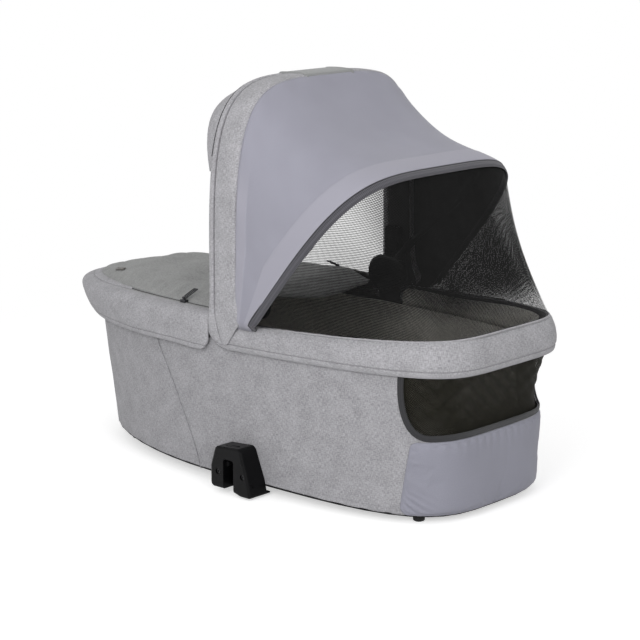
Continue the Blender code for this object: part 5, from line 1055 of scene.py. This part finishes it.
def make_mattress():
    """A pad with a rolled edge, a crown and stitched channels across it."""
    count = 300
    outline = wall(np.arange(count) / count, BOARD_FACE, -(LINING_INSET + LINING_THICK + 0.0040))

    def row(size, z):
        return np.stack([*(outline[:, :2] * size).T, np.broadcast_to(z, count)], 1)

    def from_channel(x):
        return np.abs((x / CHANNEL_PITCH) % 1.0 - 0.5) * CHANNEL_PITCH

    rows = []
    for turn in np.linspace(-pi / 2, pi / 2, 15):
        size = 0.975 + 0.025 * math.cos(turn) ** 0.6 - 0.012 * math.exp(-((turn / 0.35) ** 2))
        rows.append(row(size, BOARD_FACE + 0.0015 + (MATTRESS_HEIGHT - 0.003) * (0.5 + 0.5 * math.sin(turn))))
    for size in np.linspace(0.965, 0.03, 42):
        rise = MATTRESS_CROWN * (1 - size**2) * 0.9
        groove = 0.0045 * bell(from_channel(outline[:, 0] * size), 0.009) * min((0.975 - size) * 12, 1)
        rows.append(row(size, BOARD_FACE + MATTRESS_HEIGHT - 0.0005 + rise - groove))
    middle = rows[-1].mean(0)
    rows.append(middle + (rows[-1] - middle) * 0.02)
    p = np.stack(rows)
    obj = grid("mattress_pad", p, [mattress_look], True)
    face_out(obj, [0.0, 0.0, BOARD_FACE])
    fill_cloth(obj, (from_channel(p[..., 0]) < 0.004) | (p[..., 2] < BOARD_FACE + 0.012), 0.02, 0.005)
    dress(obj, "tub", "mattress", slot="mattress_fabric")


make_lining()
make_mattress()

# Hood


def arch(half, share):
    """(across, up) on the hood's arch, up from 0 to 1."""
    a = pi * (1 - np.asarray(share, float))
    scale = (np.abs(np.cos(a)) ** HOOD_POWER + np.abs(np.sin(a)) ** HOOD_POWER) ** (-1 / HOOD_POWER)
    return np.cos(a) * scale * half, np.sin(a) * scale


def arch_frame(share):
    """Points of the band's outer middle line and their outward directions, both in Y and Z."""
    y, up = arch(HOOD_HALF, share)
    y0, up0 = arch(HOOD_HALF, np.clip(share - 0.001, 0, 1))
    y1, up1 = arch(HOOD_HALF, np.clip(share + 0.001, 0, 1))
    tall = HOOD_TOP - PIVOT_Z
    out = unit(np.stack([0 * y, -(up1 - up0) * tall, y1 - y0], -1))
    return np.stack([0 * y, y, PIVOT_Z + tall * up], -1), out


def hood_point(share, blend, shrink=0.0):
    """The canopy between the band's rear edge, blend 0, and the tape, blend 1."""
    share, blend, shrink = spread(share, blend, shrink)
    foot_x, top_x = (mix(REAR_X + CLEAR, x, blend) for x in (TAPE_FOOT_X, TAPE_TOP_X))
    half = mix(HOOD_HALF, TAPE_HALF, blend) - shrink
    fall = blend + 1.2 * blend * np.clip(1 - blend, 0, 1) ** 1.5
    top_z = HOOD_TOP - shrink - (HOOD_TOP - TAPE_TOP_Z) * fall
    y, up = arch(1.0, share)
    return np.stack([mix(foot_x, top_x, up), y * half, mix(TAPE_FOOT_Z, top_z, up)], -1)


def tuck(blend, side):
    """Where the hood's cloth is sewn down behind the rim band, on the side that has this sign."""
    y = math.copysign(WALL_TOP_HALF + 0.0035, side)
    return np.stack(spread(mix(REAR_X, TAPE_FOOT_X - 0.0047, blend), y, RIM_TOP - 0.0055), -1)


def hood_share(points):
    """How far a point of the hood's cloth turns with the front bow: 1 at the band, 0 at the rim."""
    dx = points[:, 0] - PIVOT_X
    dz = points[:, 2] - PIVOT_Z
    edge = np.arcsin(np.clip(BAND_WIDTH / 2 / np.maximum(np.hypot(dx, dz), 1e-6), 0, 1))
    past = np.clip(np.arctan2(dx, dz) - edge, 0, pi)
    bow = np.maximum(BOW_ANGLE - edge, 0.02)
    last = np.maximum(STILL_ANGLE - edge, 0.05)
    first = 1 - (1 - BOW_RATIO) * past / bow
    rest = BOW_RATIO * np.clip((last - past) / np.maximum(last - bow, 0.02), 0, 1)
    plain = np.clip(1 - past / last, 0, 1)
    turned = np.where(edge < BOW_ANGLE - 0.05, np.where(past < bow, first, rest), plain)
    return np.clip(np.minimum(turned, smooth((points[:, 2] - STILL_Z) / STILL_REACH)), 0, 1)


def blend_hood(obj, slot, *nodes):
    """Cloth that is sewn to the rim below; it stands for its CAD nodes and has its transform baked, and how
    far each point would turn with the front bow is worked out but not used.
    """
    dress(obj, None, *nodes)
    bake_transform(obj)
    weights = hood_share(gather(obj.data.vertices, "co")).astype(np.float32)


# Heights on the band's legs with the X of their front and rear edges
LEG_FRONT = [(0.400, 0.0259), (0.300, 0.0259), (0.280, 0.0272), (0.2674, 0.0299), (0.2366, 0.0435)]
LEG_FRONT += [(0.2330, 0.0490)]
LEG_REAR = [(0.400, 0.0727), (0.340, 0.0731), (0.306, 0.0765), (0.2789, 0.0877), (0.2577, 0.0724)]
LEG_REAR += [(0.2357, 0.0575), (0.2330, 0.0530)]


def edge_x(table, z):
    return np.interp(z, *np.array(sorted(table)).T)


def side_face(z):
    """How far out the hood's legs stand at a height; they lie on the rim band below."""
    return mix(HOOD_HALF, WALL_TOP_HALF + RIM_PROUD + 0.0012, smooth((0.2790 - z) / 0.034))


def thinning(low, high, start, reach, z):
    """A size of the band's section, which grows from the leg's tip upwards."""
    return mix(low, high, smooth((z - start) / reach))


def band_line():
    """Points up the near leg, over the arch and down the far leg, with their outward directions."""
    heights = np.linspace(LEG_TIP_Z, PIVOT_Z, 46, endpoint=False)

    def leg(side):
        return [(np.array([0, side * side_face(z), z]), np.array([0, side, 0])) for z in heights]

    return [*leg(-1.0), *zip(*arch_frame(np.linspace(0, 1, 261))), *reversed(leg(1.0))]


def over_line(line, section):
    """Loops along a line; section gives, at a height, places along X with their depths inwards."""
    return np.array([[p + n * -d + [x, 0, 0] for x, d in section(p[2])] for p, n in line])


def band_section(x_low, x_high, thick, crown, roll, count=30):
    """Outer face from the front edge to the rear one, then back inside; (x, depth) with depth inwards."""
    t = np.linspace(0, 1, count)
    x = mix(x_low, x_high, t)
    drop = roll * round_off(np.minimum(x - x_low, x_high - x) / np.minimum(roll, (x_high - x_low) / 2))
    outer = np.stack([x, np.minimum(drop, thick * 0.8) - crown * np.sin(pi * t)], 1)
    inner_x = mix(x_high, x_low, np.linspace(0.03, 0.97, 10))
    return np.concatenate([outer, np.stack([inner_x, np.full(10, thick)], 1)])


def pad_section(z):
    thick = thinning(0.0012, BAND_THICK, 0.258, 0.024, z)
    crown = thinning(0.0004, 0.0014, 0.26, 0.05, z)
    roll = thinning(0.0007, 0.0065, 0.262, 0.05, z)
    return band_section(edge_x(LEG_FRONT, z), edge_x(LEG_REAR, z), thick, crown, roll)


def facing_section(z):
    right = edge_x(LEG_FRONT, z) - 0.0004
    back = RIM_START_ROUND * round_off(1 - (RIM_TOP - z) / RIM_ROUND_TALL)
    left = min(FRONT_X + back * 0.92, right - 0.003)
    thick = thinning(0.0010, BAND_THICK, 0.258, 0.024, z)
    roll = thinning(0.0006, 0.0060, 0.262, 0.05, z)
    t = np.linspace(0, 1, 12)
    x = mix(left, right, t)
    drop = roll * round_off((x - left) / min(roll, right - left))
    drop += roll * 0.22 * round_off((right - x) / 0.0022)
    depth = np.minimum(drop, thick * 0.8) - 0.0006 * np.sin(pi * t)
    return [*zip(x, depth), (right, thick), (left + 0.001, thick)]


def make_band():
    """The padded band over the front bow, and the facing along its front edge."""
    line = band_line()
    loops = over_line(line, pad_section)
    soft = swell(loops, 0.10, 61, 0.0006)
    soft[:, :3] = soft[:, 27:] = 0.0
    loops += np.array([n for _, n in line])[:, None] * soft[..., None]
    inside = np.arange(loops.shape[1]) >= 30
    blend_hood(loft("band_pad", loops, [lit_hood_look, dark_look], None, inside), MELANGE, "hood_band")
    blend_hood(loft("band_facing", over_line(line, facing_section), [lit_hood_look]), MELANGE)


def arch_share(axis, value):
    """The share on the arch's near half where the band's middle line has this Y or Z."""
    shares = np.linspace(0, 0.5, 800)
    return np.interp(value, arch_frame(shares)[0][:, axis], shares)


def make_visor():
    """The sun visor ahead of the band, its rolled brim and the piping behind it."""
    rows = 150
    edge = arch_share(2, VISOR_END_Z)
    share = mix(edge, 1 - edge, np.linspace(0, 1, rows))
    place, out = arch_frame(share)
    from_end = np.minimum(np.arange(rows), np.arange(rows)[::-1]) / (rows - 1)
    reach = VISOR_REACH * (0.1 + 0.9 * np.sin(pi / 2 * np.minimum(from_end / 0.14, 1.0)))
    reach *= mix(0.60, 1.0, np.minimum(np.abs(share - 0.5) / 0.36, 1.0))
    ahead = np.linspace(0, 1, 14)[None, :]
    drop = BAND_THICK * 0.2 + VISOR_DROP * ahead * out[:, 2:3] - 0.0012 * np.sin(pi * ahead)
    p = place[:, None] - out[:, None] * drop[..., None]
    p[..., 0] = FRONT_X - CLEAR + 0.0035 - (reach[:, None] + 0.0035) * ahead
    obj = grid("visor_cloth", p, [lit_hood_look, dark_look])
    face_out(obj, HUB)
    thicken(obj, VISOR_THICK)
    dress(obj, "hood_front", "visor", slot=MELANGE)
    dress(tube("visor_brim", p[:, -1] - out * 0.0016, 0.0019, lit_hood_look, 10), "hood_front", slot=MELANGE)
    line = place + out * -0.0022
    line[:, 0] = FRONT_X + 0.0008
    dress(tube("visor_piping", line[4:-4], 0.0011, piping_look), "hood_front", slot=BINDING)


def make_grip():
    """The leatherette sleeve on the band's top, with a rolled edge at each end."""
    count = 60
    edge = arch_share(1, -GRIP_LENGTH / 2)
    loops = []
    for k, (p, n) in enumerate(zip(*arch_frame(mix(edge, 1 - edge, np.linspace(0, 1, count))))):
        end = min(k, count - 1 - k)
        lift = 0.0014 + 0.0010 * bell(end - 1.5, 1.2) - (0.0012 if end == 0 else 0.0)
        section = band_section(FRONT_X - lift, REAR_X + lift, BAND_THICK + 0.0026, 0.0016, 0.0070, 34)
        loops.append([p + n * (lift - d) + [x, 0, 0] for x, d in section])
    dress(loft("grip_sleeve", np.array(loops), [leather_look]), "hood_front", "grip", slot="grip_leatherette")


def make_canopy():
    """The canopy from under the band to the tape, tucked in behind the rim at both sides."""
    count, rows, fine = 240, 90, np.linspace(0, 1, 200)
    share = np.linspace(0, 1, count)
    step = np.linalg.norm(np.diff(hood_point(share, fine[:, None]), axis=0), axis=2)
    walked = np.concatenate([np.zeros((1, count)), np.cumsum(step, 0)])
    total = walked[-1]
    goal = np.linspace(0, 1, rows)[:, None] * (total - 0.0034)
    blend = np.stack([np.interp(goal[:, i], walked[:, i], fine) for i in range(count)], 1)
    p = hood_point(share, blend, 0.0004)
    n = unit(np.cross(np.gradient(p, axis=0), np.gradient(p, axis=1)))
    n *= np.sign(n[rows // 2, count // 2, 2])
    narrow = np.clip(total / 0.115, 0, 1)

    def doubled(wide, away):
        """Where the cloth lies double, up to a distance from an edge."""
        return smooth((wide * narrow + 0.0012 - away) / 0.0024)

    facing = np.clip(doubled(FRONT_FACING, goal) + doubled(REAR_FACING, total - goal), 0, 1)
    facing *= np.where(goal < total / 2, 1 - smooth((0.34 - np.abs(share - 0.5)) / 0.06), 1.0)
    lift = 0.0007 * facing + swell(p, 0.19, 71, 0.0016) * np.sin(pi * goal / total)
    tug = 0.0013 * np.sin(share * 95.0) * np.exp(-goal / 0.020) * smooth(np.abs(share - 0.5) * 6)
    lift += tug * smooth((total - 0.06) / 0.05) * smooth(goal / 0.003)
    lift -= 0.0016 * bell(goal - 0.0012, 0.0022)
    lift = mix(np.maximum(lift, 0.0006), lift, smooth((p[..., 2] - 0.335) / 0.03))
    under = hood_point(share, 0.0, 0.0085)
    under[:, 0] = REAR_X - 0.0040
    p = np.concatenate([under[None], p + n * lift[..., None]])
    blend = np.concatenate([blend[:1], blend])
    goal = np.pad(np.concatenate([goal[:1] - 0.009, goal]), ((0, 0), (1, 1)), "edge")
    facing = np.pad(facing, ((1, 0), (1, 1)), "edge")
    p = np.concatenate([tuck(blend[:, :1], p[0, 0, 1]), p, tuck(blend[:, -1:], p[0, -1, 1])], 1)
    obj = grid("canopy_cloth", p, [lilac_look, dark_look], marks={"facing": facing}, v=goal)
    face_out(obj, HUB)
    thicken(obj, CANOPY_THICK)
    blend_hood(obj, "lilac_fabric", "hood_canopy")


TAPE_SECTION = [(-0.0034, 0.0004), (-0.0028, 0.0016), (0.0, 0.0022), (0.0040, 0.0017), (0.0080, 0.0006)]
TAPE_SECTION += [(0.0082, -0.0006), (0.0, -0.0008), (-0.0032, -0.0006)]
net_start = share_where(TAPE_FOOT_X + BAND_WIDTH * 0.1, rim_point)


def tape_points(share):
    return hood_point(share, 1.0, TAPE_RADIUS)


def net_foot(share):
    return rim_point(mix(-net_start, net_start, share), -RIM_CREST, RIM_TOP) - [0, 0, 0.0008]


def make_tape():
    """The charcoal tape along the canopy's lower edge, with its piping; its ends are tucked in."""
    share = np.linspace(0, 1, 300)
    middle = tape_points(share)
    up = unit(middle - hood_point(share, 0.97, TAPE_RADIUS))
    hang = net_foot(share) - middle
    narrow = np.clip(np.linalg.norm(hang, axis=1) / 0.03, 0.45, 1.0)
    end = tuck(1.0, -1.0) + [0.0, 0.0065, 0.0]
    middle = np.concatenate([[end], middle, [end * [1, -1, 1]]])
    up, down = (np.pad(a, ((1, 1), (0, 0)), "edge") for a in (up, unit(hang)))
    narrow = np.concatenate([[0.25], narrow, [0.25]])[:, None]
    ahead = unit(np.gradient(middle, axis=0))
    across = up + down * 0.9
    across = unit(across - ahead * (across * ahead).sum(1)[:, None])
    out = np.cross(ahead, across)
    out *= np.sign((out * (middle - HUB)).sum(1))[:, None]
    loops = np.stack([middle + across * (a * narrow) + out * b for a, b in TAPE_SECTION], 1)
    blend_hood(loft("tape_trim", loops, [tape_look]), BINDING, "hood_tape")
    path = middle - across * 0.0040 * narrow + out * 0.0010
    blend_hood(tube("tape_piping", path, 0.0011, piping_look), BINDING)


def make_net():
    """The mesh from the tape down to the rim, and the cord that covers its foot."""
    share = np.linspace(0, 1, 240)
    top, foot = tape_points(share), net_foot(share)
    gap = np.linalg.norm(foot - top, axis=1)
    top = top + unit(foot - top) * 0.0030
    down = np.linspace(0, 1, 44)[:, None]
    p = mix(top[None], foot[None], down[..., None])
    fold = 0.0005 * np.sin(share * 60) * smooth(gap / 0.08)
    p = p + unit(HUB - p) * (np.sin(pi * down) * (gap * 0.04 + fold))[..., None]
    hem = (gap * (1 - down) < 0.0035) | (gap * down < 0.004)
    close = smooth((p[..., 0] - 0.22) / 0.16) * smooth((p[..., 2] - 0.292) / 0.05)
    obj = grid("net_cloth", p, [net_look], marks={"hem": hem, "close": close}, v=gap * down)
    face_out(obj, HUB)
    thicken(obj, NET_THICK, 0.0)
    blend_hood(obj, "black_net", "hood_mesh")
    path = net_foot(np.linspace(0, 1, 300)) + [0, 0, 0.0010]
    dress(tube("net_hem", path, 0.0019, melange_look), "tub", slot=MELANGE)


def make_sleeve():
    """Dark sleeve of the lining round the rear bow."""
    y, up = arch(BOW_HALF, np.linspace(0.18, 0.82, 120))
    lean = np.array([math.sin(BOW_ANGLE), 0.0, math.cos(BOW_ANGLE)])
    path = HUB + lean * (BOW_REACH * up)[:, None]
    path[:, 1] = y
    wide = np.array([math.cos(BOW_ANGLE), 0.0, -math.sin(BOW_ANGLE)])
    deep = np.cross(unit(np.gradient(path, axis=0)), wide)
    turn = np.arange(18)[:, None] / 18 * tau
    oval = wide * (np.cos(turn) * 0.0064) + deep[:, None] * (np.sin(turn) * 0.0053)
    dress(loft("bow_sleeve", path[:, None] + oval, [dark_look]), "rear_bow_body", slot="black_net")


make_band()
make_visor()
make_grip()
make_canopy()
make_tape()
make_net()
make_sleeve()

# Springs: steel copies of the part's own, riding on the tub and the hood's front


def make_coil(kind, name, body, axis):
    """A steel copy of the part's own spring; the place of its outer or lower end is worked out but not used.
    """
    source = frame["nodes"][kind + "_spring_" + name]
    mesh = source.data.copy()
    mesh.transform(source.matrix_world)
    obj = link(kind + "_coil_" + name, mesh)
    mesh.materials.clear()
    mesh.materials.append(steel_look)
    places = gather(mesh.vertices, "co")
    direction = np.array(axis)
    along = places @ direction
    anchor = places.mean(0)
    anchor += direction * (along.min() - anchor @ direction)
    dress(obj, body, source.name, slot="steel")
    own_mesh(obj)


for name, side in (("near", -1.0), ("far", 1.0)):
    make_coil("adapter", name, "tub", (0.0, 0.0, 1.0))
    make_coil("hub", name, "hood_front", (0.0, -side, 0.0))

# Small bare tag at the foot of the apron

pieces = bpy.data.objects
tag_long, tag_wide = np.meshgrid(np.linspace(0, 1, 8), np.linspace(0, 1, 4))
tag = np.stack([0.030 * tag_long - 0.327, 0.008 * tag_wide - 0.012 * tag_long - 0.092, 0 * tag_long], -1)
apron_shape = pieces["apron_cloth"].evaluated_get(bpy.context.evaluated_depsgraph_get())
for point in tag.reshape(-1, 3):
    hit, where, _, _ = apron_shape.ray_cast(Vector((point[0], point[1], 0.5)), Vector((0, 0, -1)))
    point[2] = where.z + 0.0020 if hit else 0.283
blank_tag = grid("blank_tag", tag, [tag_look])
thicken(blank_tag, TAG_THICK, 0.0)
dress(blank_tag, "tub", slot=BINDING)

# Each sheet's hold, what it rests on and the pieces that go with it; the loop below only looks the pieces up

SHEETS = {
    "wall_cloth": ("stretched", "rim_pad", ["wall_hem_stitches", "wall_seam_near", "wall_seam_far"]),
    "window_net_cloth": ("stretched", "wall_cloth", []),
    "skirt_cloth": ("hung", "rim_pad", ["skirt_stitches", "zip_guard"]),
    "apron_cloth": ("stretched", "zip_tape", ["blank_tag"]),
    "canopy_cloth": ("stretched", "band_pad", ["tape_trim", "tape_piping"]),
    "net_cloth": ("stretched", "tape_trim", ["net_hem"]),
    "lining_cloth": ("hung", "rim_pad", []),
    "visor_cloth": ("stretched", "band_pad", ["visor_brim", "visor_piping"]),
}
for name, (held, under, others) in SHEETS.items():
    others = [pieces[other] for other in others]

# Materials of the CAD nodes that stay: the first line with a word of the node's name

CAD_LOOKS = [
    (dark_steel_look, ["screw"]),
    (steel_look, ["hub_pin"]),
    (rubber_look, ["foot_"]),
    (painted_look, ["rear_bow"]),
    (aluminium_look, ["rim_frame"]),
    (zip_look, ["zip_slider"]),
    (piping_look, ["zip_pull"]),
    (black_plastic_look, ["adapter_housing", "adapter_button", "hub_cap", "front_arm"]),
    (board_look, ["base_board"]),
    (matt_plastic_look, [""]),
]
for name, obj in frame["nodes"].items():
    if name not in replaced:
        fitting = [look for look, words in CAD_LOOKS if any(word in name for word in words)]
        obj.data.materials.clear()
        obj.data.materials.append(fitting[0])

# Floor, light and camera

floor_mesh = bpy.data.meshes.new("floor")
floor_mesh.from_pydata([(-6, -6, 0), (6, -6, 0), (6, 6, 0), (-6, 6, 0)], [], [(0, 1, 2, 3)])
floor = link("floor", floor_mesh)
paper = Look("floor_paper")
grain = paper.noise(paper.coords(kind="Object"), 2.0, 2.0)
tone = paper.ramp(grain, (1.0, 1.0, 1.0), (0.3, 0.73), (0.7, 0.75))
paper.set(Base_Color=tone, Roughness=0.9, Specular_IOR_Level=0.0)
place = paper.get("ShaderNodeTexCoord", output="Object")
radius = paper.get("ShaderNodeVectorMath", {0: place}, "Value", operation="LENGTH")
far = paper.between(radius, 0.0, 1.0, 0.55, 1.30, interpolation_type="SMOOTHSTEP")
white = paper.get("ShaderNodeEmission", {"Strength": 1.0})
glow = paper.get("ShaderNodeEmission", {"Strength": 0.52})
matt = paper.get("ShaderNodeBsdfDiffuse", {"Color": (0.85, 0.85, 0.85)})
near = paper.get("ShaderNodeAddShader", {0: matt, 1: glow})
ground = paper.get("ShaderNodeMixShader", {0: far, 1: near, 2: white})
both = paper.get("ShaderNodeMixShader", {0: paper.seen(), 1: paper.shader.outputs[0], 2: ground})
paper.feed(paper.tree.nodes["Material Output"].inputs["Surface"], both)
floor_mesh.materials.append(paper.material)

world = bpy.data.worlds.new("studio")
bpy.context.scene.world = world
world.use_nodes = True
sky = Nodes(world.node_tree)
background = sky.tree.nodes["Background"]
sky.feed(background.inputs["Strength"], sky.between(sky.seen(), 0.50, 1.0, 0.0, 1.0))
sky.feed(background.inputs["Color"], (1.0, 1.0, 1.0))


def lamp(name, place, aim, size, power):
    obj = link(name, adjust(bpy.data.lights.new(name, "AREA"), shape="DISK", size=size, energy=power))
    turn = (Vector(place) - Vector(aim)).to_track_quat("Z", "Y").to_euler()
    adjust(obj, location=place, rotation_euler=turn)


lamp("key", (0.8, -2.9, 1.7), (0.0, 0.0, 0.25), 2.0, 36.5)
lamp("top", (-0.6, 0.0, 3.0), (-0.2, 0.0, 0.2), 2.4, 6.0)
lamp("fill", (2.8, -1.5, 1.2), (0.0, 0.0, 0.2), 1.8, 23.0)

AZIMUTH, ELEVATION, DISTANCE = math.radians(41.83), math.radians(12.485), 3.195
TARGET = Vector((0.05134, 0.0, 0.23597))
SENSOR, FOCAL_PIXELS, PHOTO_PIXELS = 36.0, 2004.5, 640.0
level = math.cos(ELEVATION)
back = Vector((math.sin(AZIMUTH) * level, -math.cos(AZIMUTH) * level, math.sin(ELEVATION)))
lens = FOCAL_PIXELS * SENSOR / PHOTO_PIXELS
camera = link("camera", adjust(bpy.data.cameras.new("camera"), sensor_width=SENSOR, lens=lens))
adjust(camera, location=TARGET + back * DISTANCE, rotation_euler=(-back).to_track_quat("-Z", "Y").to_euler())
bpy.context.scene.camera = camera
bpy.context.scene.view_settings.view_transform = "Standard"
